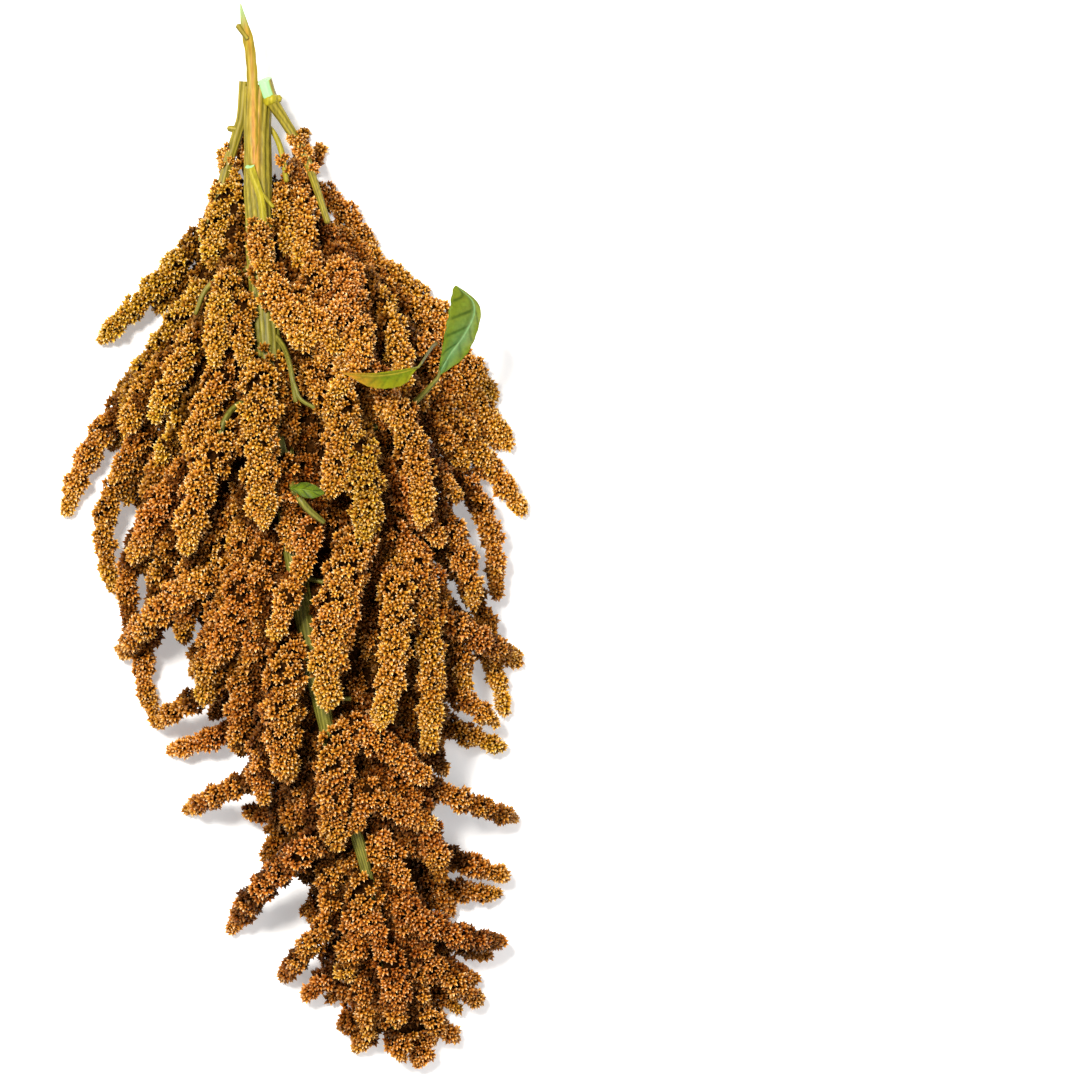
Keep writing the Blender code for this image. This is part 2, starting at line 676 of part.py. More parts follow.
def all_spikes():
    """Every spike of the head, in a fixed order."""
    draw = np.random.default_rng(SEED)
    twins = [twin(SHOWN_SPIKES[place], draw) for place in TWINNED]
    return [
        *SHOWN_SPIKES, *twins, *fill_spikes(draw), *floor_spikes(draw), *thatch_spikes(draw)
    ]


def heart_object():
    """The packed middle that the spikes stand out of, low enough to leave the stalk clear."""
    across = np.array((-1.0, -0.9, -0.6, -0.2, 0.2, 0.6, 0.9, 1.0))
    y = np.linspace(HEART_TOP, HEART_TIP, HEART_RINGS)
    half = HEART_WIDTH * body_half(y)
    x = stalk_x(y)[:, None] + half[:, None] * across
    over = heart_at(x, np.broadcast_to(y[:, None], x.shape))
    under = np.full_like(x, HEART_UNDER)
    xs = np.hstack([x, x[:, -2:0:-1]])
    zs = np.hstack([over, under[:, -2:0:-1]])
    ys = np.broadcast_to(y[:, None], xs.shape)
    rings = np.stack([xs, ys, zs], axis=2)
    sides = xs.shape[1]
    # The same faces as a tube's, with its points put on these sections.
    _, faces = tube_mesh(rings.mean(axis=1), np.ones((HEART_RINGS, sides)))
    points = np.vstack([rings.reshape(-1, 3), rings[0].mean(axis=0), rings[-1].mean(axis=0)])
    return new_object("heart", points, faces)


def stalk_tube(name, rows, sides, count, extra=0.0, ribs=0.0):
    """A bare stalk as a closed tube, thicker all round by extra, with lengthwise ribs."""
    path = smooth_rows(rows, count)
    relief = 1 + ribs * np.where(np.arange(sides) % 2 == 0, 1, -1)
    radii = path[:, 3:4] * relief[None, :] + extra
    line = path[:, :3].copy()
    if extra:
        line[0] += extra * (line[0] - line[1]) / np.linalg.norm(line[0] - line[1])
        line[-1] += extra * (line[-1] - line[-2]) / np.linalg.norm(line[-1] - line[-2])
    return new_object(name, *tube_mesh(line, radii))


def splinter_object(extra=0.0):
    """The strip of torn rind, flat in section and drawn out to a point."""
    path = smooth_rows(SPLINTER, SPLINTER_RINGS)
    line = path[:, :3]
    across, up = frames_along(line)
    corners = ((-0.5, -0.35), (0.5, -0.35), (0.42, 0.4), (0.05, 0.55), (-0.42, 0.3))
    rings = np.stack(
        [
            line
            + across * (a * path[:, 3:4] + math.copysign(extra, a))
            + up * (b * path[:, 4:5] + math.copysign(extra, b))
            for a, b in corners
        ],
        axis=1,
    )
    _, faces = tube_mesh(line, np.ones((len(line), len(corners))))
    points = np.vstack([rings.reshape(-1, 3), rings[0].mean(axis=0), rings[-1].mean(axis=0)])
    return new_object("splinter", points, faces)


def stem_parts(extra=0.0):
    """The bodies that join into the stem. With extra they are the cutters that clear it."""
    ribs = 0.0 if extra else RIB_DEPTH
    extra = extra + (STALK[1][3] * RIB_DEPTH if extra else 0.0)
    parts = [stalk_tube("stalk", STALK, STALK_SIDES, STALK_RINGS, extra, ribs)]
    for rows in (LEFT_STALK, RIGHT_STALK, FRONT_SHOOT):
        parts.append(stalk_tube("side_stalk", rows, SIDE_STALK_SIDES, 2 * len(rows) - 2, extra))
    for rows in (*TWIGS, *LEAF_STALKS):
        parts.append(stalk_tube("twig", rows, TWIG_SIDES, 2 * len(rows) - 2, extra))
    parts.append(splinter_object(extra))
    return parts


def leaf_surface(leaf, offset, extra=0.0):
    """A leaf's points on one face: its outline, folded at the rib, bent and waved."""
    base, tip = np.array(leaf.base), np.array(leaf.tip)
    along = tip - base
    across = np.cross(along, (0, 0, 1))
    across /= np.linalg.norm(across)
    up = np.cross(across, along)
    up /= np.linalg.norm(up)
    s = np.linspace(0, 1, LEAF_STEPS)[:, None]
    rows = np.array(leaf.outline)
    left, rib, right = (np.interp(s, rows[:, 0], rows[:, k]) for k in (1, 2, 3))
    w = np.array((-1.0, -0.5, 0.0, 0.5, 1.0))[None, :]
    away = np.where(w < 0, (rib - left + extra) * w, (right - rib + extra) * w)
    rise = (
        leaf.fold * np.abs(away)
        + leaf.bend * np.sin(math.pi * s)
        + leaf.wave * np.sin(math.pi * LEAF_VEINS * s) * w**2
    )
    reach = s + extra / np.linalg.norm(along) * (2 * s - 1)
    return (
        base
        + reach[:, :, None] * along
        + (rib + away)[:, :, None] * across
        + (rise + offset)[:, :, None] * up
    )


def leaf_object(leaf, extra=0.0):
    """A leaf blade of even thickness, or with extra the cutter that clears it."""
    half = LEAF_THICKNESS / 2 + extra
    top, under = leaf_surface(leaf, half, extra), leaf_surface(leaf, -half, extra)
    steps, columns = top.shape[:2]
    points = np.vstack([top.reshape(-1, 3), under.reshape(-1, 3)])
    below = steps * columns
    faces = []
    for i in range(steps - 1):
        for k in range(columns - 1):
            a = i * columns + k
            b, c, d = a + 1, a + columns + 1, a + columns
            for x, y, z in ((a, b, c), (a, c, d)):
                faces += [(x, y, z), (z + below, y + below, x + below)]
    rim = [k for k in range(columns)]
    rim += [i * columns + columns - 1 for i in range(1, steps)]
    rim += [(steps - 1) * columns + k for k in range(columns - 2, -1, -1)]
    rim += [i * columns for i in range(steps - 2, 0, -1)]
    for a, b in zip(rim, rim[1:] + rim[:1]):
        faces += [(b, a, a + below), (b, a + below, b + below)]
    return new_object(leaf.name, points, faces)


def ground_cutter():
    """The ground as a block, which presses the lowest spikes flat."""
    x, y, z = 200.0, 300.0, 40.0
    points = [(sx * x, sy * y, sz * z - z) for sx in (-1, 1) for sy in (-1, 1) for sz in (-1, 1)]
    faces = [(0, 1, 3, 2), (4, 6, 7, 5), (0, 4, 5, 1), (2, 3, 7, 6), (0, 2, 6, 4), (1, 5, 7, 3)]
    return new_object("ground", points, faces)


def make_stem():
    """The stalk, its side stalks, twigs and splinter, joined in one body."""
    stem, *rest = stem_parts()
    stem.name = "stem"
    boolean(stem, rest, "UNION")
    keep_largest_body(stem)
    finish_surface(stem, (0.42, 0.36, 0.12), 0.55)


def make_seed_spikes():
    """Every spike and the heart joined in one body, cleared of the stem, leaves and ground."""
    head = heart_object()
    head.name = "seed_spikes"
    boolean(head, [spike_object(spike) for spike in all_spikes()], "UNION")
    keep_largest_body(head)
    thin_out(head, THINNED_TO)
    cutters = [*stem_parts(GAP), *(leaf_object(leaf, GAP) for leaf in LEAVES), ground_cutter()]
    boolean(head, cutters, "DIFFERENCE")
    keep_largest_body(head)
    part_touches(head)
    finish_surface(head, (0.36, 0.16, 0.045), 0.7, smooth_angle=20.0)


def make_leaves():
    """The leaf blades, each its own piece."""
    for leaf in LEAVES:
        finish_surface(leaf_object(leaf), leaf.colour, 0.5, smooth_angle=50.0)


def main():
    """Clears the scene and builds the seed head."""
    for found in list(bpy.data.objects):
        bpy.data.objects.remove(found)
    make_stem()
    make_seed_spikes()
    make_leaves()


main()
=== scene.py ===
"""A cut seed head of grain amaranth, laid on a pale surface and seen from straight above.

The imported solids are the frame. Every seed spike is drawn again as a thin dark core with
bursts of pointed florets standing out of it, the stalk as a ribbed rind with its torn cut
end, and the leaves as veined blades. Sizes are millimetres until a mesh is made.
"""

from __future__ import annotations

import logging
import math
from dataclasses import dataclass, field
from enum import Enum

import bpy
import numpy as np
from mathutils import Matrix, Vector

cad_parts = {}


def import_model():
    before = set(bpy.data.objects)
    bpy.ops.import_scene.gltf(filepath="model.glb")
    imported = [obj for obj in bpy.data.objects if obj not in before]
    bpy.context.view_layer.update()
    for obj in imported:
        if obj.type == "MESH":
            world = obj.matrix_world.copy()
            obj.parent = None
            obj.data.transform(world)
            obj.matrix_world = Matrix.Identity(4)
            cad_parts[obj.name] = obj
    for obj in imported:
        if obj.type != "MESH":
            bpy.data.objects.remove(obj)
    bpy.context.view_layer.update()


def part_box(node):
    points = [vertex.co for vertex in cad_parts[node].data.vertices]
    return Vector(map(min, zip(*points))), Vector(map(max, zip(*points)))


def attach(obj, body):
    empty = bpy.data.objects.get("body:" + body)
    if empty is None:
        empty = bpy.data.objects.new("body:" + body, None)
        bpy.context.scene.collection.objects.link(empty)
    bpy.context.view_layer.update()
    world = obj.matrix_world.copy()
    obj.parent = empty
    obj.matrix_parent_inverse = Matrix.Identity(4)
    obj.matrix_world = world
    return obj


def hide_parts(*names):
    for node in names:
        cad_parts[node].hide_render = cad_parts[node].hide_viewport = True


log = logging.getLogger("amaranth")

MM = 0.001
MIDDLE = np.array((-2.6, 8.8, 0.0))  # the drawing's point that is the part's own origin
GOLDEN_ANGLE = math.radians(137.5)
CROSS = ((0, 0), (1, 0), (-1, 0), (0, 1), (0, -1))  # a grid cell and its four neighbours
Rows = tuple[tuple[float, ...], ...]
Point = tuple[float, float, float]
Pair = tuple[float, float]
Colour = tuple[float, float, float]
Stops = tuple[tuple[float, Colour], ...]
Socket = bpy.types.NodeSocket


# The head's plan, in drawing millimetres.


@dataclass(frozen=True)
class Spike:
    """A seed spike's root, bend and tip in plan, its thickness, and its lift.

    Lift runs from 0, lying on the surface, to 1, on top of the mound.
    """

    root: Pair
    bend: Pair
    tip: Pair
    girth: float
    lift: float
    tone: float = 0.0

    def radius(self, t: np.ndarray) -> np.ndarray:
        """Radius at t from root to tip: a full middle that narrows to a blunt end."""
        return self.girth / 2 * np.minimum(0.8 + 1.2 * t, 1 - 0.22 * t**2 - 0.3 * t**8)


# A stalk's rows are x, y, z and radius, from its cut end inwards.
STALK: Rows = (
    (-16.8, 190, 15, 5.2), (-16.6, 166, 19.5, 5.3), (-15.8, 134, 28, 5.3), (-12.5, 95, 40, 5.4),
    (-7, 52, 48.5, 4.8), (0, 0, 51, 4.1), (8, -48, 48.5, 3.4), (18, -90, 42.5, 2.7),
    (26, -118, 37.5, 2.3), (32, -145, 32.5, 1.9), (39, -188, 20, 1.2),
)
LEFT_STALK: Rows = (
    (-21.9, 193, 14, 2.4), (-22.9, 179, 15, 2.4), (-24.8, 172, 15.5, 2.3), (-28.8, 159, 16, 2),
    (-33.6, 142, 19, 1.7), (-39, 128, 23, 1.4),
)
RIGHT_STALK: Rows = (
    (-14, 193.5, 20.5, 2.7), (-11.2, 185, 20, 2.7), (-6, 176.8, 19, 2.1), (-1.6, 169.6, 19, 1.9),
    (3, 161, 21, 1.7), (7.6, 148, 27, 1.4), (12, 135, 32, 1.2),
)
FRONT_SHOOT: Rows = (
    (-20, 159.6, 25.8, 2), (-17.6, 153, 28.3, 1.7), (-15.2, 146, 30.3, 1.5), (-13.8, 138, 32.5, 1.35),
    (-13, 126, 36, 1.2), (-12.6, 114, 39.4, 1.1),
)
# Bare twigs between the spikes, and which of them and the leaf stalks are greener, or painted darker as
# shade where they dive into the gaps.
TWIGS: tuple[Rows, ...] = (
    ((-14.8, 147, 30.3, 0.9), (-10, 141.2, 30.2, 0.75)),
    ((-24, 172.8, 15.5, 1.9), (-28.6, 173.6, 16, 1.1)),
    ((-11.8, 184.6, 20, 2), (-7.4, 185.4, 20.5, 1.4)),
    ((-20.6, 209, 22.6, 0.9), (-24.4, 214.4, 22.8, 1.2)),
    ((-9, 90, 43, 1.3), (-4.6, 84, 50, 1.1), (-1.6, 75.5, 64, 1), (0.5, 62.6, 66, 0.9)),
    ((-0.4, 70, 66.2, 0.9), (2.4, 63.6, 67.6, 0.8), (7.8, 60.2, 67, 0.7)),
    ((-3.4, 34, 49, 1.5), (1, 26, 66, 1.5), (5.6, 20, 68, 1.4), (11.6, 15, 66, 1)),
    ((-8, 66, 46, 1.4), (-22, 62, 51, 1.3), (-28, 55, 58, 1.2), (-30.4, 45, 59, 1)),
    ((-14, 118, 32, 1.4), (-28, 114, 36, 1.2), (-36, 108, 40, 1), (-40.4, 98, 40, 0.8)),
    ((0.8, -6, 51, 1.1), (10.8, -8.8, 52.5, 0.9)),
    ((9, -54.6, 48, 1.1), (21.6, -55, 48.5, 0.9)),
    ((-14, 176, 16, 1), (-9.8, 171, 17, 1.1), (-6.6, 162.4, 18, 1.2), (-5, 152, 21, 1)),
)
FRESH_TWIGS = (0, 2, 11)
SHADED_TWIGS = (13,)
COLLAR: Rows = (
    (-12, 186.4, 20, 2.2), (-11.7, 185.7, 20, 3), (-11.2, 184.8, 20, 3.3), (-10.6, 183.9, 19.9, 3.1),
    (-10.2, 183.2, 19.8, 2.3),
)
# The leaf stalks, and thin ends that carry two of them on into their blades.
LEAF_STALKS: tuple[Rows, ...] = (
    (
        (-4, 34, 46, 1.6), (20, 48, 37, 1.5), (40, 58, 35, 1.3), (49, 65, 38.5, 1.1),
        (55.8, 71.9, 43.7, 0.8),
    ),
    (
        (-9, 84, 40, 1.4), (20, 88, 20, 1.2), (46, 89, 9, 1), (54.4, 87.6, 12, 0.9),
        (53.4, 84.8, 33, 0.7), (49.4, 77.6, 50.4, 0.5),
    ),
    ((1.6, 25, 66.4, 1), (0.4, 26.2, 68, 0.8), (-0.8, 27, 69.4, 0.6)),
)
PETIOLES: tuple[Rows, ...] = (
    ((54, 70.2, 42.2, 0.7), (55.8, 71.9, 43.7, 0.75), (56.5, 73.8, 43.7, 0.6), (57.3, 77.4, 44, 0.3)),
    (
        (50.3, 79.3, 46.5, 0.5), (49.4, 77.6, 50.4, 0.48), (48.2, 76.4, 51.9, 0.45),
        (45.6, 76, 52.8, 0.3),
    ),
)
# The splinter's rows are x, y, z, width and thickness.
SPLINTER: Rows = (
    (-17.9, 158, 25.9, 3.8, 2.2), (-18.3, 172, 23.3, 4.5, 2.8), (-18.6, 190, 20, 4.5, 3.2),
    (-19.4, 202.4, 20.3, 4.2, 2.2), (-20.5, 209.6, 21.8, 4.2, 1.8), (-22.2, 217, 23.4, 2.4, 1.3),
    (-23.2, 223, 25, 0.5, 0.6),
)
# Stalks with loose bursts on them: from and to which share of the length, and how many.
TUFTED: tuple[tuple[Rows, float, float, int], ...] = (
    (RIGHT_STALK, 0.46, 0.74, 26),
    (LEFT_STALK, 0.5, 1.0, 30),
    (TWIGS[11], 0.6, 1.0, 8),
    (TWIGS[6], 0.3, 0.42, 3),
    (LEAF_STALKS[1], 0.4, 0.62, 8),
)
# The mound's rows are y, half its width, its height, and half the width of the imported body.
MOUND: Rows = (
    (165, 12, 26, 10), (130, 34, 44, 28), (92, 68, 60, 52), (52, 84, 70, 62), (20, 92, 74, 64),
    (-16, 82, 74, 56), (-56, 74, 68, 46), (-84, 68, 61, 38), (-110, 63, 55, 27), (-142, 58, 45, 26),
    (-176, 38, 34, 20), (-202, 16, 22, 9),
)
# The spikes that show: x and y of root, bend and tip, then thickness and lift.
SHOWN: Rows = (
    (-36, 135, -50, 119, -80, 89, 11, 0.35), (-24, 162, -30, 145, -34, 118, 11.5, 0.75),
    (-24, 122, -30, 99, -32, 78, 11, 1), (-34, 112, -53, 88, -70, 58, 12, 0.6),
    (-35, 98, -46, 77, -57, 56, 11.5, 0.85), (-58, 84, -68, 74, -75, 63, 7, 0.15),
    (-50, 76, -74, 59, -95, 19, 12, 0.2), (-52, 60, -64, 48, -74, 32, 10.5, 0.4),
    (-33, 72, -45, 56, -55, 39, 10.5, 0.7), (-24, 84, -34, 64, -43, 44, 12, 0.9),
    (-51, 48, -63, 36, -70, 24, 10, 0.2), (-53, 25, -77, 23, -75, -12, 10.5, 0.25),
    (-49, 16, -68, 0, -66, -33, 10.5, 0.3), (-14, 0, -46, -13, -72, -38, 12.5, 0.7),
    (-21, 60, -33, 40, -43, 4, 15, 1), (-12, 92, -14, 56, -12, 14, 16, 1),
    (-17, 36, -22, 20, -23, 0, 11, 0.7), (-14, 16, -14, -8, -14, -32, 12, 0.75),
    (-19, 0, -24, -20, -34, -42, 12.5, 0.8), (-33, -28, -63, -38, -58, -65, 10, 0.15),
    (-14, -42, -35, -52, -58, -66, 10.5, 0.5), (-14, -61, -33, -71, -53, -77, 10.5, 0.15),
    (1, -24, -5, -52, -3, -87, 16, 1), (1, -79, -19, -88, -46, -101, 10, 0.6),
    (3, -94, -9, -102, -22, -101, 11, 0.15), (1, -96, -5, -102, -13, -109, 8, 0.2),
    (0, -5, -3, -16, -8, -30, 10, 0.95), (34, 24, 21, -2, 13, -58, 16, 1),
    (40, 10, 40, -24, 33, -66, 12.5, 0.9), (19, -61, 15, -86, 16, -114, 15.5, 1),
    (1, -102, -9, -112, -13, -122, 11, 0.1), (21, -105, -3, -120, -28, -150, 12.5, 0.95),
    (15, -134, 8, -138, 1, -142, 7, 0.1), (19, -138, 8, -150, -7, -169, 10.5, 0.75),
    (22, -154, 13, -166, 2, -176, 10, 0.4), (21, -166, 17, -172, 12, -178, 9, 0.05),
    (29, -176, 24, -184, 16, -188, 10, 0.35), (32, -182, 28, -190, 22, -198, 10, 0.2),
    (35, -170, 38, -186, 41, -201, 11, 0.6), (43, -184, 47, -192, 51, -199, 9, 0.25),
    (42, -170, 51, -183, 63, -193, 10, 0.6), (40, -152, 57, -166, 72, -178, 11, 0.65),
    (32, -128, 53, -146, 81, -154, 12, 0.8), (39, -142, 57, -152, 76, -160, 9, 0.3),
    (41, -156, 57, -163, 71, -170, 9, 0.2), (43, -162, 55, -174, 64, -182, 9, 0.15),
    (41, -116, 61, -120, 83, -128, 11, 0.3), (43, -128, 61, -133, 80, -135, 10, 0.1),
    (27, -118, 26, -138, 18, -167, 14, 0.95), (34, -148, 38, -166, 39, -186, 12.5, 0.95),
    (12, -62, 32, -72, 52, -88, 12, 0.85), (6, -80, 30, -94, 54, -106, 12, 0.85),
    (23, -102, 35, -101, 49, -108, 11, 0.7), (25, -116, 41, -113, 58, -121, 11, 0.6),
    (-17, 124, -8, 106, 4, 84, 12.5, 1), (1, 128, 8, 104, 11, 78, 12.5, 0.9),
    (19, 124, 22, 104, 17, 74, 12.5, 0.95), (35, 108, 39, 88, 41, 64, 12, 0.8),
    (13, 72, 19, 52, 13, 26, 15, 0.95), (8, 22, 5, 8, 2, -7, 11, 0.85),
    (16, 60, 26, 40, 27, 8, 14.5, 1), (34, 72, 46, 46, 50, 14, 13, 0.85),
    (52, 12, 52, -26, 52, -76, 12.5, 0.8), (20, 6, 20, -16, 16, -41, 12, 0.95),
    (-12, 92, -5, 70, -3, 44, 10.5, 0.8), (-8, 52, -3, 30, -2, 4, 11, 0.82),
    (-40, 50, -56, 24, -62, -4, 12, 0.45), (-36, 30, -51, 6, -58, -24, 12, 0.5),
    (-29, 18, -40, -4, -46, -32, 12, 0.6), (44, 34, 62, 10, 70, -18, 12.5, 0.55),
    (46, -6, 60, -28, 66, -56, 12.5, 0.5), (-5, -56, -14, -76, -19, -92, 11, 0.6),
    (5, -72, 1, -92, -1, -112, 11, 0.7), (-2, 152, 2, 138, 0, 118, 11, 0.8),
    (8, 150, 18, 140, 30, 122, 10.5, 0.6), (14, 128, 40, 112, 66, 90, 12, 0.45),
    (20, 112, 48, 98, 78, 66, 12, 0.42), (28, 96, 58, 78, 84, 46, 12, 0.45),
    (26, 84, 52, 66, 78, 34, 12, 0.34), (-9, 152, -6.5, 140, -5, 124, 9, 0.75),
    (-22, 150, -24.5, 142, -26, 128, 8, 0.6), (0, 154, 0.5, 165, 1.5, 174, 5.5, 0.5),
    (2, 154, 5, 160, 8, 167, 7, 0.5), (-26, 150, -29, 157, -31.5, 165, 6.5, 0.5),
    (-20, 152, -22.5, 160, -22.5, 172, 5.5, 0.5), (30, -84, 27, -96, 23, -107, 9.5, 0.9),
    (27, -136, 31, -146, 33, -158, 9, 0.95), (40, 84, 60, 69, 80, 46, 11, 0.15),
    (-16, 138, -15, 129, -13, 113, 10.5, 1), (26, 118, 18, 102, 8, 88, 10.5, 1),
    (32, 96, 25, 80, 15, 66, 10.5, 1), (-4, 112, 6, 96, 17, 84, 10, 1),
    (-20, 110, -22, 94, -20, 78, 11, 0.9),
)
# A leaf outline's rows are the way along, the left edge, the rib and the right edge.
LONG_OUTLINE: Rows = (
    (0, -0.4, 0, 0.4), (0.12, -0.5, 1.3, 5), (0.25, -0.6, 3, 9), (0.45, -0.7, 6.6, 11.4),
    (0.65, -0.7, 9, 12.1), (0.78, -0.8, 9.2, 11.6), (0.88, -1, 7.2, 9), (0.95, -1, 3, 4.6),
    (1, -0.4, 0, 0.4),
)
CURLED_OUTLINE: Rows = (
    (0, -0.5, -0.1, 0.3), (0.06, -2.1, -0.5, 0.2), (0.16, -5.4, -1, 0), (0.29, -7, -1.5, -0.3),
    (0.44, -7.3, -1.8, -0.6), (0.57, -6.9, -1.8, -0.7), (0.72, -5.5, -1.3, -0.4),
    (0.84, -3, -0.8, -0.1), (0.93, -1.2, -0.4, 0.2), (1, -0.4, 0, 0.3),
)
YOUNG_OUTLINE: Rows = (
    (0, -0.4, 0, 0.4), (0.15, -1.8, -0.1, 1.3), (0.4, -3.1, -0.2, 2.7), (0.65, -2.8, 0, 2.9),
    (0.85, -1.7, 0.2, 1.9), (1, -0.4, 0, 0.4),
)
# The shown spikes that have a twin across the stalk, and how golden some of them are.
TWINNED = (0, 3, 4, 6, 7, 9, 10, 11, 12, 13, 19, 20, 21, 23)
GOLD_SPIKES = {0: 0.85, 5: 0.95, 8: 0.7, 3: 0.35, 16: 0.4, 28: 0.45, 57: 0.5, 60: 0.55, 61: 0.5}


def smooth_rows(rows: Rows, count: int) -> np.ndarray:
    """Rows of numbers as count rows on a Catmull-Rom curve through them.

    Args:
        rows: The places that the curve passes.
        count: How many rows to give back.

    Returns:
        The curve, a row for each place.
    """
    given = np.array(rows, float)
    ends = np.vstack([2 * given[0] - given[1], given, 2 * given[-1] - given[-2]])
    places = np.linspace(0, len(given) - 1, count)
    first = np.minimum(places.astype(int), len(given) - 2)
    t = (places - first)[:, None]
    a, b, c, d = (ends[first + k] for k in range(4))
    return 0.5 * (
        2 * b + (c - a) * t + (2 * a - 5 * b + 4 * c - d) * t**2 + (3 * b - a - 3 * c + d) * t**3
    )


def unit(vectors: np.ndarray) -> np.ndarray:
    """The vectors at length one."""
    return vectors / np.maximum(np.linalg.norm(vectors, axis=-1, keepdims=True), 1e-9)


def frames_along(line: np.ndarray) -> tuple[np.ndarray, np.ndarray, np.ndarray]:
    """Directions along, across and up at each point of a line that is nowhere vertical.

    Across is level, and up is square to the other two.

    Args:
        line: Points of the line.

    Returns:
        Three arrays of unit vectors.
    """
    ahead = unit(np.gradient(line, axis=0))
    across = unit(np.cross(ahead, (0.0, 0.0, 1.0)))
    return ahead, across, np.cross(across, ahead)


def smoothstep(value: np.ndarray, low: float, high: float) -> np.ndarray:
    """0 below low, 1 above high, and a smooth rise between."""
    t = np.clip((value - low) / (high - low), 0, 1)
    return t * t * (3 - 2 * t)


def turns(count: int) -> np.ndarray:
    """Even turns round a circle, from 0."""
    return np.arange(count) * 2 * math.pi / count


def distances(line: np.ndarray) -> np.ndarray:
    """How far along a line each of its points is."""
    return np.concatenate([[0], np.cumsum(np.linalg.norm(np.diff(line, axis=0), axis=1))])


def around(turn: np.ndarray, across: np.ndarray, up: np.ndarray) -> np.ndarray:
    """Directions out of each place on a line at each turn: cosine across plus sine up."""
    return np.cos(turn)[None, :, None] * across[:, None] + np.sin(turn)[None, :, None] * up[:, None]


def linked(made: bpy.types.Object) -> bpy.types.Object:
    """The object, put into the scene."""
    bpy.context.scene.collection.objects.link(made)
    return made


# Meshes.


@dataclass
class Surface:
    """Points and faces of a mesh, with a number or more for each point."""

    points: np.ndarray
    faces: list[np.ndarray]
    marks: dict[str, np.ndarray] = field(default_factory=dict)
    smooth: bool = True

    @staticmethod
    def joined(parts: list[Surface]) -> Surface:
        """Several surfaces as one."""
        starts = np.cumsum([0] + [len(part.points) for part in parts])
        faces = [each + start for part, start in zip(parts, starts) for each in part.faces]
        marks = {name: np.concatenate([part.marks[name] for part in parts]) for name in parts[0].marks}
        return Surface(np.vstack([part.points for part in parts]), faces, marks)

    def piece(self, name: str, material: bpy.types.Material, *replaced: str) -> bpy.types.Object:
        """Makes the Blender object, riding on the root body.

        Args:
            name: The object's name.
            material: Its material.
            replaced: The solids that it stands for.

        Returns:
            The new object, at the origin.
        """
        mesh = bpy.data.meshes.new(name)
        points = ((self.points - MIDDLE) * MM).astype(np.float32)
        sizes = np.concatenate([np.full(len(each), each.shape[1]) for each in self.faces])
        corners = np.concatenate([each.ravel() for each in self.faces])
        mesh.vertices.add(len(points))
        mesh.vertices.foreach_set("co", points.ravel())
        mesh.loops.add(len(corners))
        mesh.loops.foreach_set("vertex_index", corners.astype(np.int32))
        mesh.polygons.add(len(sizes))
        starts = np.concatenate([[0], np.cumsum(sizes)[:-1]])
        mesh.polygons.foreach_set("loop_start", starts.astype(np.int32))
        mesh.polygons.foreach_set("use_smooth", np.full(len(sizes), self.smooth))
        for mark, values in self.marks.items():
            kind = mesh.attributes.new(mark, "FLOAT", "POINT")
            kind.data.foreach_set("value", values.astype(np.float32).ravel())
        mesh.update(calc_edges=True)
        mesh.validate()
        mesh.materials.append(material)
        made = linked(bpy.data.objects.new(name, mesh))
        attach(made, "root")
        if replaced:
            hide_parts(*replaced)
        log.info("%s: %d faces", name, len(sizes))
        return made


def grid_faces(rows: int, columns: int, wrapped: bool) -> np.ndarray:
    """Quads between neighbours on a grid, its columns joined round if wrapped.

    Args:
        rows: Points along.
        columns: Points across or round.
        wrapped: Whether the last column meets the first.

    Returns:
        Four point numbers for each quad.
    """
    across = columns if wrapped else columns - 1
    i, k = np.meshgrid(np.arange(rows - 1), np.arange(across), indexing="ij")
    here, after = i * columns + k, i * columns + (k + 1) % columns
    return np.stack([here, after, after + columns, here + columns], axis=-1).reshape(-1, 4)


def closed_tube(
    rings: np.ndarray, start: np.ndarray, end: np.ndarray
) -> tuple[np.ndarray, list[np.ndarray]]:
    """Rings of points joined into a closed tube with a middle point at each end.

    Args:
        rings: Points by ring and side, counted the right-hand way about the tube's direction.
        start: Middle of the first end.
        end: Middle of the last.

    Returns:
        Points and faces.
    """
    count, sides = rings.shape[:2]
    points = np.vstack([rings.reshape(-1, 3), start, end])
    k = np.arange(sides)
    after = (k + 1) % sides
    first, last_ring = count * sides, (count - 1) * sides
    near = np.stack([np.full(sides, first), after, k], axis=1)
    far = np.stack([np.full(sides, first + 1), last_ring + k, last_ring + after], axis=1)
    return points, [grid_faces(count, sides, True), near, far]


# The head.


@dataclass
class SpikeLine:
    """A spike's centre line with the directions and radii along it."""

    spike: Spike
    line: np.ndarray
    ahead: np.ndarray
    across: np.ndarray
    up: np.ndarray
    radius: np.ndarray
    run: np.ndarray

    @property
    def length(self) -> float:
        """The length from root to tip."""
        return float(self.run[-1])

    def dome(self, run: np.ndarray) -> np.ndarray:
        """The share of the radius left at distances along, which closes like a dome at the tip."""
        left = (self.length + 1.0 - run) / (1.3 * np.interp(run, self.run, self.radius))
        return np.sqrt(1 - (1 - np.clip(left, 0, 1)) ** 2)


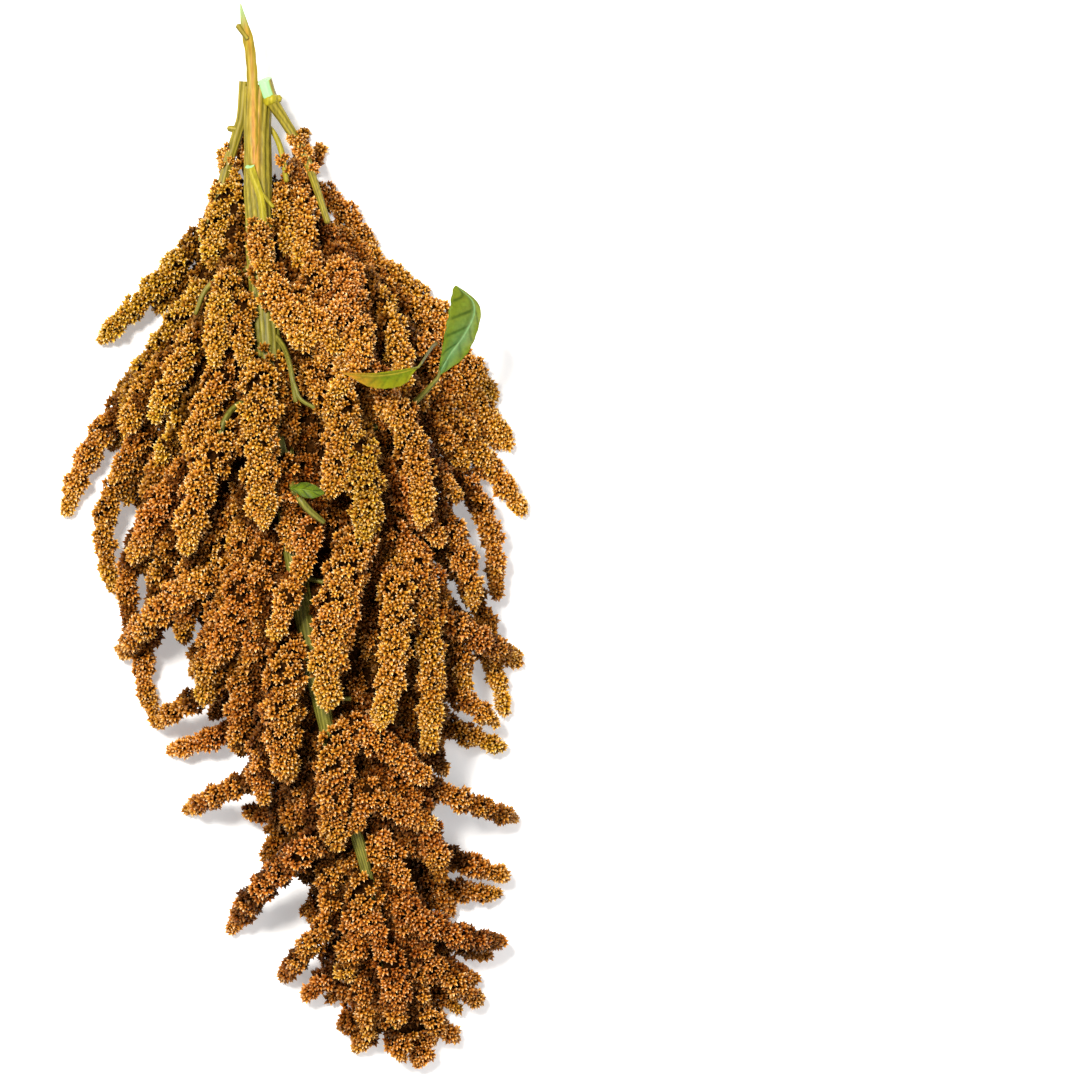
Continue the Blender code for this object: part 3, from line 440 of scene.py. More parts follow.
@dataclass
class HeadPlan:
    """Where everything in the head is: the mound, its packed heart, and every spike."""

    seed: int = 7
    twin_scatter: float = 5.0
    fill_count: int = 14
    fill_from: float = 128.0
    fill_to: float = -178.0
    fill_girth: float = 13.0
    fill_lean: float = 34.0
    floor_count: int = 14
    floor_girth: float = 13.0
    press: float = 0.5
    low_lift: float = 0.3
    thatch_rows: int = 12
    thatch_from: float = 124.0
    thatch_step: float = 25.0
    thatch_columns: tuple[float, ...] = (-0.85, -0.55, -0.2, 0.2, 0.55, 0.85)
    thatch_reach: float = 46.5
    thatch_girth: float = 12.5
    thatch_lift: float = 0.66
    heart_width: float = 0.8
    heart_height: float = 0.66
    heart_under: float = 6.0
    heart_top: float = 158.0
    heart_tip: float = -190.0
    samples: int = 40

    def __post_init__(self) -> None:
        """Puts the tables in rising order of y."""
        self.stalk = np.array(STALK)[::-1]
        self.mound = np.array(MOUND)[::-1]

    def stalk_x(self, y: np.ndarray | float) -> np.ndarray:
        """The main stalk's x at this y."""
        return np.interp(y, self.stalk[:, 1], self.stalk[:, 0])

    def half_width(self, y: np.ndarray | float) -> np.ndarray:
        """Half the mound's width at this y."""
        return np.interp(y, self.mound[:, 0], self.mound[:, 1])

    def body_half(self, y: np.ndarray | float) -> np.ndarray:
        """Half the body's width at this y, between the fingers of the outline."""
        return np.interp(y, self.mound[:, 0], self.mound[:, 3])

    def mound_at(self, x: np.ndarray, y: np.ndarray) -> np.ndarray:
        """The mound's height: half an ellipse across the stalk."""
        height = np.interp(y, self.mound[:, 0], self.mound[:, 2])
        across = np.clip((x - self.stalk_x(y)) / self.half_width(y), -1, 1)
        return height * np.sqrt(1 - across**2)

    def heart_at(self, x: np.ndarray, y: np.ndarray) -> np.ndarray:
        """The heart's height: flat on top with round shoulders."""
        height = self.heart_height * np.interp(y, self.mound[:, 0], self.mound[:, 2])
        across = np.clip(np.abs(x - self.stalk_x(y)) / (self.heart_width * self.body_half(y)), 0, 1)
        return self.heart_under + (height - self.heart_under) * (1 - across**3) ** 0.5

    def rooted(self, point: Pair, reach: float) -> np.ndarray:
        """A root moved in along its spike to within reach of the heart's half width."""
        x, y = point
        away = x - self.stalk_x(y)
        inwards = max(abs(away) - reach * self.heart_width * self.body_half(y), 0.0)
        return np.array((x - math.copysign(inwards, away), min(y + 0.7 * inwards, self.heart_top - 4)))

    def spike_line(self, spike: Spike) -> SpikeLine:
        """A spike's centre line: a parabola in plan, raised by its lift towards the mound's top.

        Args:
            spike: The spike.

        Returns:
            Its line, directions, radii and distance along.
        """
        root, bend, tip = (np.array(p, float) for p in (spike.root, spike.bend, spike.tip))
        t = np.linspace(0, 1, self.samples)
        is_low = spike.lift <= self.low_lift
        root = self.rooted(spike.root, 0.25 if is_low else 0.8)
        near, far = np.linalg.norm(bend - root), np.linalg.norm(tip - bend)
        share = np.clip(near / (near + far), 0.25, 0.75)
        pull = (bend - (1 - share) ** 2 * root - share**2 * tip) / (2 * share * (1 - share))
        s = t[:, None]
        plan = (1 - s) ** 2 * root + 2 * s * (1 - s) * pull + s**2 * tip
        low = spike.radius(t) - self.press
        top = self.mound_at(plan[:, 0], plan[:, 1]) - spike.girth / 2
        height = low + spike.lift * np.maximum(top - low, 0)
        start = low[0] if is_low else self.heart_at(*root) - 0.45 * spike.girth
        line = np.column_stack([plan, start + (height - start) * smoothstep(t, 0, 0.35)])
        return SpikeLine(spike, line, *frames_along(line), spike.radius(t), distances(line))

    def spikes(self) -> list[Spike]:
        """Every spike: those that show, their twins across the stalk, the fill, floor and thatch."""
        draw = np.random.default_rng(self.seed)
        shown = [
            Spike((a, b), (c, d), (e, f), girth, lift, GOLD_SPIKES.get(place, 0.0))
            for place, (a, b, c, d, e, f, girth, lift) in enumerate(SHOWN)
        ]

        def twin(spike: Spike) -> Spike:
            """The spike mirrored in the stalk, its bend and tip scattered a little."""

            def across(point: Pair) -> Pair:
                """The point on the stalk's other side."""
                return float(2 * self.stalk_x(point[1]) - point[0]), point[1]

            def scattered(point: Pair) -> Pair:
                """The point across, moved a little."""
                moved = np.array(across(point)) + draw.uniform(-self.twin_scatter, self.twin_scatter, 2)
                return float(moved[0]), float(moved[1])

            bend, tip = scattered(spike.bend), scattered(spike.tip)
            return Spike(across(spike.root), bend, tip, spike.girth, spike.lift)

        def outward(
            y: float, out: float, lean: float, wide: float, root_out: float, bend: Pair
        ) -> tuple[Pair, Pair, Pair]:
            """Root, bend and tip of a spike that leaves the stalk at this y."""
            tip = (self.stalk_x(y - lean) + out * (self.body_half(y - lean) * wide), y - lean)
            root = (self.stalk_x(y) + out * root_out, y)
            middle = ((root[0] + tip[0]) / 2, (root[1] + tip[1]) / 2)
            return root, (middle[0] + out * bend[0], middle[1] + lean * bend[1]), tip

        found = shown + [twin(shown[place]) for place in TWINNED]
        reach = self.fill_to - self.fill_from
        for number in range(self.fill_count):
            y = self.fill_from + reach * (number + 0.5) / self.fill_count
            angle = (number * GOLDEN_ANGLE) % (2 * math.pi)
            out = math.copysign(max(abs(math.cos(angle)), 0.45), math.cos(angle))
            lean, wide = self.fill_lean * draw.uniform(0.7, 1.2), draw.uniform(0.95, 1.2)
            line = outward(y, out, lean, wide, 5, (4, 0.12))
            girth = self.fill_girth * draw.uniform(0.9, 1.1)
            found.append(Spike(*line, girth, 0.36 + 0.36 * math.sin(angle)))
        for number in range(2 * self.floor_count):
            y = self.fill_from + reach * (number + 0.5) / (2 * self.floor_count)
            lean, wide = self.fill_lean * draw.uniform(0.6, 1.1), draw.uniform(0.95, 1.15)
            line = outward(y, (-1, 1)[number % 2], lean, wide, 3, (3, 0.15))
            found.append(Spike(*line, self.floor_girth * draw.uniform(0.9, 1.1), 0.0))
        return found + self.thatch(draw)

    def thatch(self, draw: np.random.Generator) -> list[Spike]:
        """The spikes between the top ones and the heart, in rows that lap like thatch.

        Args:
            draw: The head's random numbers, used in the same order as for the solids.

        Returns:
            The spikes.
        """
        found = []
        for row in range(self.thatch_rows):
            y = self.thatch_from - self.thatch_step * row
            wide = self.body_half(y)
            for column in self.thatch_columns if wide > 40 else self.thatch_columns[1:-1]:
                share = column + 0.07 * (-1) ** row + draw.uniform(-0.06, 0.06)
                reach = self.thatch_reach * draw.uniform(0.8, 1.2) * (1.0 if wide > 40 else 0.8)
                root = (self.stalk_x(y) + 0.35 * share * wide, y)
                tip = (self.stalk_x(y - reach) + 1.15 * share * self.body_half(y - reach), y - reach)
                bend = ((root[0] + tip[0]) / 2 + 4 * share, (root[1] + tip[1]) / 2 + 3)
                girth = self.thatch_girth * draw.uniform(0.88, 1.1) * (1.0 if wide > 40 else 0.85)
                found.append(Spike(root, bend, tip, girth, self.thatch_lift + draw.uniform(-0.08, 0.08)))
        return found


@dataclass
class Bursts:
    """Many small bursts of florets: a middle, a way out, a size, and what colours them, painted shade
    included.
    """

    middle: np.ndarray
    way: np.ndarray
    size: np.ndarray
    tone: np.ndarray
    shade: np.ndarray
    owner: np.ndarray

    def where(self, kept: np.ndarray) -> Bursts:
        """The bursts that the mask keeps."""
        return Bursts(*(getattr(self, name)[kept] for name in self.__dataclass_fields__))

    @staticmethod
    def joined(parts: list[Bursts]) -> Bursts:
        """Several sets of bursts as one."""
        names = Bursts.__dataclass_fields__
        return Bursts(*(np.concatenate([getattr(part, name) for part in parts]) for name in names))


@dataclass
class Sight:
    """Which bursts show from outside, found by looking at the head along many directions.

    For each direction every burst marks its depth on a grid of cells round its own, and the
    bursts that are nearly as deep as the nearest mark on their cell are seen.
    """

    cell: float = 1.7
    slack: float = 5.0

    def seen(self, bursts: Bursts, toward: np.ndarray) -> np.ndarray:
        """Which bursts show to an eye far off in one direction.

        Args:
            bursts: All bursts.
            toward: The unit vector from the head to the eye.

        Returns:
            A mask over them.
        """
        side = unit(np.cross(toward, (0.02, 1.0, 0.03)))
        over = np.cross(toward, side)
        depth = bursts.middle @ toward
        u, v = (np.floor(bursts.middle @ axis / self.cell).astype(int) for axis in (side, over))
        u, v = u - u.min() + 1, v - v.min() + 1
        nearest = np.full((u.max() + 2, v.max() + 2), -1e9)
        for du, dv in CROSS:
            np.maximum.at(nearest, (u + du, v + dv), depth)
        return (depth > nearest[u, v] - self.slack) & (bursts.way @ toward > -0.45)

    def ring(self, elevation: float, count: int) -> list[np.ndarray]:
        """Directions all round at one elevation in degrees."""
        rise = math.radians(elevation)
        flat = math.cos(rise)
        places = turns(count) + 0.2
        return [np.array((flat * math.cos(t), flat * math.sin(t), math.sin(rise))) for t in places]

    def from_above(self, bursts: Bursts) -> np.ndarray:
        """The bursts that show from nearly straight above."""
        ways = [np.array((0.0, 0.0, 1.0)), *self.ring(78, 4)]
        return np.any([self.seen(bursts, way) for way in ways], axis=0)

    def from_round(self, bursts: Bursts) -> np.ndarray:
        """The bursts that show from the sides or from under."""
        under = np.array((0.0, 0.0, -1.0))
        ways = [*self.ring(35, 8), *self.ring(4, 10), *self.ring(-35, 6), under]
        return np.any([self.seen(bursts, way) for way in ways], axis=0)


@dataclass(frozen=True)
class Fan:
    """How a burst's florets are made: how many, with how many sides, how long and how wide."""

    florets: int
    sides: int
    length: float
    width: float


@dataclass(frozen=True)
class Shading:
    """How much painted shade a burst gets for its depth and in the gaps, and how golden or red by its
    place.

    The painted shade in the gaps is less below the height named low, where outer spikes lie on the
    surface.
    """

    deep: float = 0.25
    deep_from: Pair = (8.0, 28.0)
    cell: float = 4.5
    gap: float = 0.76
    gap_from: float = 2.4
    gap_depth: float = 9.0
    low: float = 15.0
    lowest: float = 0.35
    tip_gap: float = 0.12
    tip_gap_depth: float = 3.0
    tip_dim: float = 0.06
    tip_red: float = 0.12
    tip_from: Pair = (30.0, 130.0)
    gold: float = 0.45
    gold_up: Pair = (10.0, 110.0)
    gold_left: Pair = (-25.0, 45.0)


@dataclass
class SeedHead:
    """The florets of every spike, and the dark cores that they stand out of.

    Bursts sit a pitch apart and sunk a little under the spike's surface, and lean forward by
    degrees that grow towards the tip. The rich fan is for what shows from above, the plain one
    for the rest.
    """

    plan: HeadPlan
    burst_pitch: float = 4.35
    burst_sink: float = 2.0
    packing: float = 0.87
    side_lean: float = 14.0
    tip_lean: float = 62.0
    rich: Fan = Fan(11, 3, 2.65, 1.7)
    plain: Fan = Fan(6, 3, 3.0, 2.1)
    core_share: float = 0.55
    core_sides: int = 7
    heart_short: float = 9.0
    lump: float = 0.21
    waist: float = 0.45
    shading: Shading = Shading()
    seed: int = 41

    def __post_init__(self) -> None:
        """Works out every spike's line once."""
        self.lines = [self.plan.spike_line(spike) for spike in self.plan.spikes()]
        self.draw = np.random.default_rng(self.seed)

    def spike_bursts(self, number: int) -> Bursts:
        """Bursts on one spike, by the golden angle along and round it.

        The radius closes like a dome over the last stretch, where the bursts turn forward.

        Args:
            number: The spike's place in the list.

        Returns:
            Its bursts.
        """
        way = self.lines[number]
        area = way.length * 2 * math.pi * way.radius.mean()
        count = int(area / (self.packing * self.burst_pitch**2))
        run = way.length * (np.arange(count) + 0.5) / count + self.draw.uniform(-0.4, 0.4, count)
        run = np.clip(run, 0, way.length)
        radius = np.interp(run, way.run, way.radius)
        dome = way.dome(run)
        turn = np.arange(count) * GOLDEN_ANGLE + number + self.draw.uniform(-0.1, 0.1, count)

        def along(values: np.ndarray) -> np.ndarray:
            """The line's vectors at each burst."""
            return np.column_stack([np.interp(run, way.run, values[:, k]) for k in range(3)])

        out = np.cos(turn)[:, None] * along(way.across) + np.sin(turn)[:, None] * along(way.up)
        lean = math.radians(self.side_lean) + (1 - dome) * math.radians(self.tip_lean)
        facing = unit(np.cos(lean)[:, None] * out + np.sin(lean)[:, None] * along(way.ahead))
        lumps = 1 + self.lump * np.sin(run * 0.52 + 1.3 * np.sin(turn) + number)
        lumps = lumps + self.draw.uniform(-0.12, 0.12, count)
        reach = np.maximum(radius * dome * lumps - self.burst_sink, 0.4)
        middle = along(way.line) + out * reach[:, None]
        size = self.draw.uniform(0.85, 1.2, count) * (0.82 + 0.18 * dome)
        near_tip = smoothstep(run / way.length, 0.75, 1.0)
        tone = way.spike.tone + self.draw.uniform(-0.1, 0.25) + 0.3 * near_tip
        shade = self.draw.uniform(0.82, 1.06) * (1 + 0.08 * near_tip)
        return Bursts(middle, facing, size, tone, shade, np.full(count, number))

    def tuft_bursts(self) -> Bursts:
        """Loose bursts that sit on the side stalks where they go in among the spikes."""
        parts = []
        for rows, start, end, count in TUFTED:
            line = smooth_rows(rows, 60)[:, :3]
            ahead, across, up = frames_along(line)
            place = (self.draw.uniform(start, end, count) * 59).astype(int)
            turn = np.arange(count) * GOLDEN_ANGLE
            rise = np.maximum(np.sin(turn), -0.3)
            out = np.cos(turn)[:, None] * across[place] + rise[:, None] * up[place]
            middle = line[place] + out * self.draw.uniform(1.0, 2.8, (count, 1))
            tone, shade = np.full(count, 0.05), self.draw.uniform(0.8, 1.0, count)
            size = self.draw.uniform(0.75, 1.0, count)
            facing = unit(out + 0.4 * ahead[place])
            parts.append(Bursts(middle, facing, size, tone, shade, np.full(count, -1)))
        return Bursts.joined(parts)

    def heart_bursts(self) -> Bursts:
        """Bursts over the top and sides of the heart, seen only down the gaps between spikes."""
        plan, pitch = self.plan, self.burst_pitch
        rows, columns = np.arange(plan.heart_tip, plan.heart_top, pitch), np.arange(-60.0, 60.0, pitch)
        y, x = (axis.ravel() for axis in np.meshgrid(rows, columns, indexing="ij"))
        y = y + self.draw.uniform(-0.4, 0.4, len(y)) * pitch
        x = x + self.draw.uniform(-0.4, 0.4, len(x)) * pitch
        inside = np.abs(x) < plan.heart_width * plan.body_half(y)
        y, x = y[inside], x[inside] + plan.stalk_x(y[inside])
        top = np.column_stack([x, y, plan.heart_at(x, y)])
        step = 1.0
        falls = plan.heart_at(x - step, y) - plan.heart_at(x + step, y)
        drops = plan.heart_at(x, y - step) - plan.heart_at(x, y + step)
        slope = np.column_stack([falls, drops, np.full(len(x), 2 * step)])
        under = np.column_stack([x, y, np.full(len(x), plan.heart_under)])
        down = np.broadcast_to((0.0, 0.0, -1.0), top.shape)
        # The heart's bursts start darker than those on spikes: painted shade for their place down the
        # gaps.
        size, tone, shade, owner = (np.full(2 * len(x), value) for value in (1.0, 0.1, 0.8, -1))
        return Bursts(np.vstack([top, under]), np.vstack([unit(slope), down]), size, tone, shade, owner)

    def clear_of_others(self, bursts: Bursts) -> np.ndarray:
        """Which bursts aren't buried in another spike, the heart or the stalk.

        A burst is buried when it is nearer another spike's centre line than most of its radius.

        Args:
            bursts: All bursts.

        Returns:
            A mask over them.
        """
        plan = self.plan
        stations = np.vstack([way.line[::2] for way in self.lines])
        radii = np.concatenate([(way.radius * way.dome(way.run))[::2] for way in self.lines])
        owners = np.concatenate([np.full(len(way.line[::2]), n) for n, way in enumerate(self.lines)])
        stalk = smooth_rows(STALK, 120)
        clear = np.ones(len(bursts.middle), bool)
        at_once, far_off = 1500, 99.0
        for start in range(0, len(clear), at_once):
            part = slice(start, start + at_once)
            middle = bursts.middle[part, None, :]
            gap = np.linalg.norm(middle - stations[None], axis=2) - 0.5 * radii
            gap[bursts.owner[part, None] == owners[None]] = far_off
            near = np.linalg.norm(middle - stalk[None, :, :3], axis=2) - stalk[:, 3]
            clear[part] = (gap.min(axis=1) > 0) & (near.min(axis=1) > 0.8)
        x, y, z = bursts.middle.T
        level = np.where((y < plan.heart_top) & (y > plan.heart_tip), plan.heart_at(x, y), 0)
        within = np.abs(x - plan.stalk_x(y)) < plan.heart_width * plan.body_half(y)
        buried = within & (z < level - 1.0) & (z > plan.heart_under + 1.0)
        return clear & ~(buried & (bursts.owner >= 0))

    def shaded(self, bursts: Bursts) -> None:
        """Paints shade on the bursts that lie deep under the mound, and on those down between spikes.

        A burst's depth in a gap is how far it is below the highest burst in its own cell of a
        grid in plan and the four next to it. The painted shade in the gaps is deeper, and the
        florets darker and redder, towards the head's tip, and the upper left is golden.

        Args:
            bursts: The bursts, whose shade takes the painted shade and whose tone is changed.
        """
        look = self.shading
        x, y, z = bursts.middle.T
        depth = np.minimum(self.plan.mound_at(x, y) - z, 1.5 * z)
        # Painted shade: bursts deep under the mound's top are darker.
        bursts.shade *= 1 - look.deep * smoothstep(depth, *look.deep_from)
        u, v = (np.floor((axis - axis.min()) / look.cell).astype(int) + 1 for axis in (x, y))
        top = np.zeros((u.max() + 2, v.max() + 2))
        for du, dv in CROSS:
            np.maximum.at(top, (u + du, v + dv), z)
        at_tip = smoothstep(-y, *look.tip_from)
        beneath = top[u, v] - z - look.gap_from + at_tip
        beneath = np.clip(beneath / (look.gap_depth - look.tip_gap_depth * at_tip), 0, 1)
        raised = np.clip(z / look.low, look.lowest, 1)
        # Painted shade down the gaps between spikes, lighter near the floor.
        bursts.shade *= 1 - (look.gap + look.tip_gap * at_tip) * beneath * raised
        bursts.shade *= 1 - look.tip_dim * at_tip
        bursts.tone += look.gold * smoothstep(y, *look.gold_up) * smoothstep(-x, *look.gold_left)
        bursts.tone -= look.tip_red * at_tip

    def florets_of(self, bursts: Bursts, fan: Fan, low: np.ndarray, high: np.ndarray) -> Surface:
        """The florets: slim double pyramids that fan out over each burst's outer half.

        In a burst, the golden angle turns each floret on from the last while it leans further
        out, as seeds do on a disc.

        Args:
            bursts: The bursts.
            fan: How their florets are made.
            low: Lowest corner that the solid reaches.
            high: Highest corner.

        Returns:
            One surface with all of them.
        """
        count, florets, sides = len(bursts.middle), fan.florets, fan.sides
        k = np.arange(florets)
        upright = 1 - (k + 0.4) / florets
        upright = np.clip(upright[None] + self.draw.uniform(-0.06, 0.06, (count, florets)), 0.0, 1.0)
        turn = k[None] * GOLDEN_ANGLE + self.draw.uniform(0, 2 * math.pi, (count, 1))
        turn = turn + self.draw.uniform(-0.25, 0.25, (count, florets))
        side = unit(np.cross(bursts.way, (0.31, 0.17, 0.93)))
        over = np.cross(bursts.way, side)
        flat = np.sqrt(1 - upright**2)
        way = (
            upright[..., None] * bursts.way[:, None]
            + (flat * np.cos(turn))[..., None] * side[:, None]
            + (flat * np.sin(turn))[..., None] * over[:, None]
        ).reshape(-1, 3)
        size = (bursts.size[:, None] * self.draw.uniform(0.8, 1.2, (count, florets))).reshape(-1, 1)
        base = np.repeat(bursts.middle, florets, axis=0) + way * 0.25
        length, half = fan.length * size, fan.width * size / 2
        left = unit(np.cross(way, (0.23, 0.94, 0.26)))
        right = np.cross(way, left)
        waist = base + way * length * self.waist
        ring = [waist + half * (math.cos(a) * left + math.sin(a) * right) for a in turns(sides)]
        points = np.stack([base, *ring, base + way * length], axis=1)
        total, ends = len(way), sides + 2
        starts = np.arange(total)[:, None] * ends
        inner = [(0, 1 + (n + 1) % sides, 1 + n) for n in range(sides)]
        outer = [(sides + 1, 1 + n, 1 + (n + 1) % sides) for n in range(sides)]
        faces = (starts[:, None] + np.array(inner + outer)[None]).reshape(-1, 3)
        # Painted shade: florets that lie flat over their burst are darker than those that stand out of
        # it.
        marks = {
            "along": np.tile((0.0, *[self.waist] * sides, 1.0), total),
            "tint": np.repeat(self.draw.uniform(0, 1, total), ends),
            "tone": np.repeat(np.repeat(bursts.tone, florets), ends),
            "shade": np.repeat((bursts.shade[:, None] * (0.68 + 0.46 * upright)).ravel(), ends),
        }
        points = np.clip(points.reshape(-1, 3), low, high)
        return Surface(points, [faces], marks, smooth=False)

    def cores(self) -> Surface:
        """Thin closed tubes inside the florets, one for each spike."""
        parts = []
        step = slice(None, None, 3)
        for way in self.lines:
            radius = (way.radius * np.maximum(way.dome(way.run), 0.3))[step] * self.core_share
            out = around(turns(self.core_sides), way.across[step], way.up[step])
            rings = way.line[step, None] + radius[:, None, None] * out
            points, faces = closed_tube(rings, way.line[0], way.line[step][-1] + way.ahead[-1] * 1.5)
            points[:, 2] = np.maximum(points[:, 2], 0.5)
            parts.append(Surface(points, faces))
        return Surface.joined(parts)

    def heart(self) -> Surface:
        """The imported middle, uneven like crowded spike roots."""
        plan = self.plan
        across = np.sin(np.linspace(-1, 1, 31) * math.pi / 2)
        y = np.linspace(plan.heart_top - self.heart_short, plan.heart_tip, 110)
        half = plan.heart_width * plan.body_half(y)
        x = plan.stalk_x(y)[:, None] + half[:, None] * across
        deep = np.broadcast_to(y[:, None], x.shape)
        lumps = 0.7 * np.sin(x * 1.1 + 0.6 * np.sin(deep * 0.8)) * np.sin(deep * 0.9 + x * 0.3)
        over = plan.heart_at(x, deep) + lumps * (1 - across**2) - 0.8
        under = plan.heart_under + 0.6 + 0 * x
        over[:, (0, -1)] = under[:, (0, -1)]
        xs, zs = np.hstack([x, x[:, -2:0:-1]]), np.hstack([over, under[:, -2:0:-1]])
        rings = np.stack([xs, np.broadcast_to(y[:, None], xs.shape), zs], axis=2)
        # The stalk lies in a furrow, so that the heart never covers it.
        stalk = smooth_rows(STALK, 200)[::-1]
        middle, height, reach = (np.interp(rings[..., 1], stalk[:, 1], stalk[:, k]) for k in (0, 2, 3))
        beside, floor = np.abs(rings[..., 0] - middle), height - 1.2 * reach
        furrow = (beside < 1.3 * reach) & (rings[..., 2] > floor)
        rings[..., 2] = np.where(furrow, np.maximum(floor, plan.heart_under + 1), rings[..., 2])
        points, faces = closed_tube(rings, rings[0].mean(axis=0), rings[-1].mean(axis=0))
        return Surface(points, faces)

    def build(self) -> None:
        """Makes the cores, the heart and the floret pieces."""
        low, high = (np.array(corner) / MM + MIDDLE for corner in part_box("seed_spikes"))
        # The cores and the heart share the near-black finish, partly painted shade for the gaps.
        core = CoreFinish().material()
        self.cores().piece("spike_cores", core, "seed_spikes")
        self.heart().piece("heart", core, "seed_spikes")
        groups = [self.spike_bursts(number) for number in range(len(self.lines))]
        bursts = Bursts.joined([*groups, self.heart_bursts(), self.tuft_bursts()])
        bursts.middle[:, 2] = np.maximum(bursts.middle[:, 2], 1.0)
        kept = bursts.where(self.clear_of_others(bursts))
        self.shaded(kept)
        sight = Sight()
        above = sight.from_above(kept)
        round_about = sight.from_round(kept) & ~above
        log.info("of %d bursts %d show from above", len(above), above.sum())
        log.info("and %d more show from round about", round_about.sum())
        finish = FloretFinish().material()
        for name, mask, fan, pieces in (
            ("florets_above", above, self.rich, 4),
            ("florets_round", round_about, self.plain, 2),
        ):
            part = kept.where(mask)
            for number, few in enumerate(np.array_split(np.argsort(part.middle[:, 1]), pieces)):
                surface = self.florets_of(part.where(few), fan, low, high)
                surface.piece(f"{name}_{number}", finish, "seed_spikes")


# The stalk.


@dataclass(frozen=True)
class Rind:
    """How a bare stalk's surface is made.

    It has sides, rings, ribs and a cut at its start. Peeled is how far the cut bares it,
    fresh how green-yellow it is, dim how far painted shade darkens it, and the flush an orange
    stripe that fades between two distances from the start.
    """

    sides: int
    rings: int
    ribs: int = 0
    rib_depth: float = 0.0
    slant: float = 0.0
    bare_end: bool = True
    peeled: float = 0.0
    fresh: float = 0.0
    dim: float = 0.0
    flush_turn: float = 1.4
    flush_ends: Pair = (-2.0, -1.0)


@dataclass
class Stem:
    """The main stalk, its side stalks, twigs and leaf stalks, and the torn splinter."""

    main: Rind = Rind(56, 220, 13, 0.06, flush_ends=(26.0, 48.0))
    left: Rind = Rind(28, 70, 7, 0.07, 0.3)
    right: Rind = Rind(28, 70, 7, 0.07, 0.6, peeled=7.2)
    collar: Rind = Rind(24, 14, 3, 0.06, bare_end=False, fresh=1.0)
    shoot: Rind = Rind(18, 50, 5, 0.06, 1.9, fresh=0.85)
    splinter_sides: int = 28
    fresh_twig: float = 0.7
    twig_painted_shade: float = 0.4

    def tube(self, rows: Rows, rind: Rind, phase: float = 0.0) -> Surface:
        """A stalk carried along its line, ribbed, with a cut start.

        The radius is the drawn one, times one plus the ribs' cosine round it and a slow
        swell along it. A slanted cut moves the upper side of the first rings on, and a
        peeled one bares the flesh on the upper side for a way.

        Args:
            rows: The line and its radii.
            rind: How its surface is made.
            phase: Turns the ribs and the swell.

        Returns:
            The surface.
        """
        path = smooth_rows(rows, rind.rings)
        line, radius = path[:, :3], path[:, 3]
        ahead, across, up = frames_along(line)
        turn, run = turns(rind.sides), distances(line)
        wander = 0.35 * np.sin(run * 0.05 + phase)
        ribs = rind.rib_depth * np.cos(rind.ribs * (turn[None] + wander[:, None]))
        finer = np.cos((2 * rind.ribs + 3) * turn[None] + run[:, None] * 0.02)
        ribs = ribs + 0.4 * rind.rib_depth * finer
        swell = 0.02 * np.sin(run * 0.21 + phase)[:, None]
        size = radius[:, None] * (1 + ribs + swell)
        rings = line[:, None] + size[..., None] * around(turn, across, up)
        fade = np.clip(1 - run / (4 * radius[0]), 0, 1)[:, None] * (0.5 + 0.5 * np.sin(turn))[None]
        rings = rings + (rind.slant * radius[0] * fade)[..., None] * ahead[:, None]
        start = rings[0].mean(axis=0)
        points, faces = closed_tube(rings, start, line[-1] + ahead[-1] * radius[-1] * 0.6)
        aside = (turn - rind.flush_turn + math.pi) % (2 * math.pi) - math.pi
        flush = np.exp(-((aside / 0.32) ** 2))[None] * (1 - smoothstep(run, *rind.flush_ends))[:, None]
        bare = (np.cos(turn - 0.9) > 0.3)[None] & (run < rind.peeled)[:, None]
        marks = {
            "flush": np.append(flush, [0, 0]),
            "cut": np.append(bare, [1, 0]),
            "groove": np.append(ribs / max(rind.rib_depth, 1e-6), [0, 0]),
            "fresh": np.full(len(points), rind.fresh),
            "dim": np.full(len(points), rind.dim),
        }
        if rind.bare_end:
            # The cut face has its own rim just inside the rind.
            base, sides = len(points), rind.sides
            points = np.vstack([points, start + (rings[0] - start) * 0.94])
            k = np.arange(sides)
            after = (k + 1) % sides
            faces[1] = np.stack([np.full(sides, base - 2), base + after, base + k], axis=1)
            faces.append(np.stack([base + after, after, k, base + k], axis=1))
            rim = {"flush": 0.0, "cut": 1.0, "groove": 0.0, "fresh": 0.0, "dim": rind.dim}
            for name, value in rim.items():
                marks[name] = np.append(marks[name], np.full(sides, value))
        return Surface(points, faces, marks)

    def splinter(self) -> Surface:
        """The torn strip of rind: a flat lens in section that twists and thins to a point."""
        path, sides = smooth_rows(SPLINTER, 90), self.splinter_sides
        line, width, depth = path[:, :3], path[:, 3], path[:, 4]
        _, across, up = frames_along(line)
        turn = turns(sides)
        frayed = 1 + 0.05 * np.sin(turn * 7)[None] + 0.04 * np.sin(line[:, 1:2] * 0.9 + turn[None] * 3)
        a = 0.5 * width[:, None] * np.cos(turn)[None] * frayed
        b = 0.45 * depth[:, None] * np.sin(turn)[None] * frayed
        rings = line[:, None] + a[..., None] * across[:, None] + b[..., None] * up[:, None]
        points, faces = closed_tube(rings, line[0], line[-1])
        # Across runs to the right here, so turn 0 is the right edge.
        stripe = np.exp(-(((np.cos(turn) - 0.1) / 0.32) ** 2))
        flush = stripe[None] * (0.35 + 0.4 * smoothstep(-line[:, 1], -200, -170))[:, None]
        pale = smoothstep(line[:, 1], 212, 221)
        marks = {
            "flush": np.append(0.12 + flush, [0.1, 0]),
            "cut": np.append(np.repeat(0.5 * pale, sides), [0, 0.5]),
            "groove": np.append(np.tile(np.sin(turn * 7), len(line)), [0, 0]),
            "fresh": np.append(np.repeat(0.35 * (1 - pale), sides), [0, 0]),
            "dim": np.zeros(len(points)),
        }
        return Surface(points, faces, marks)

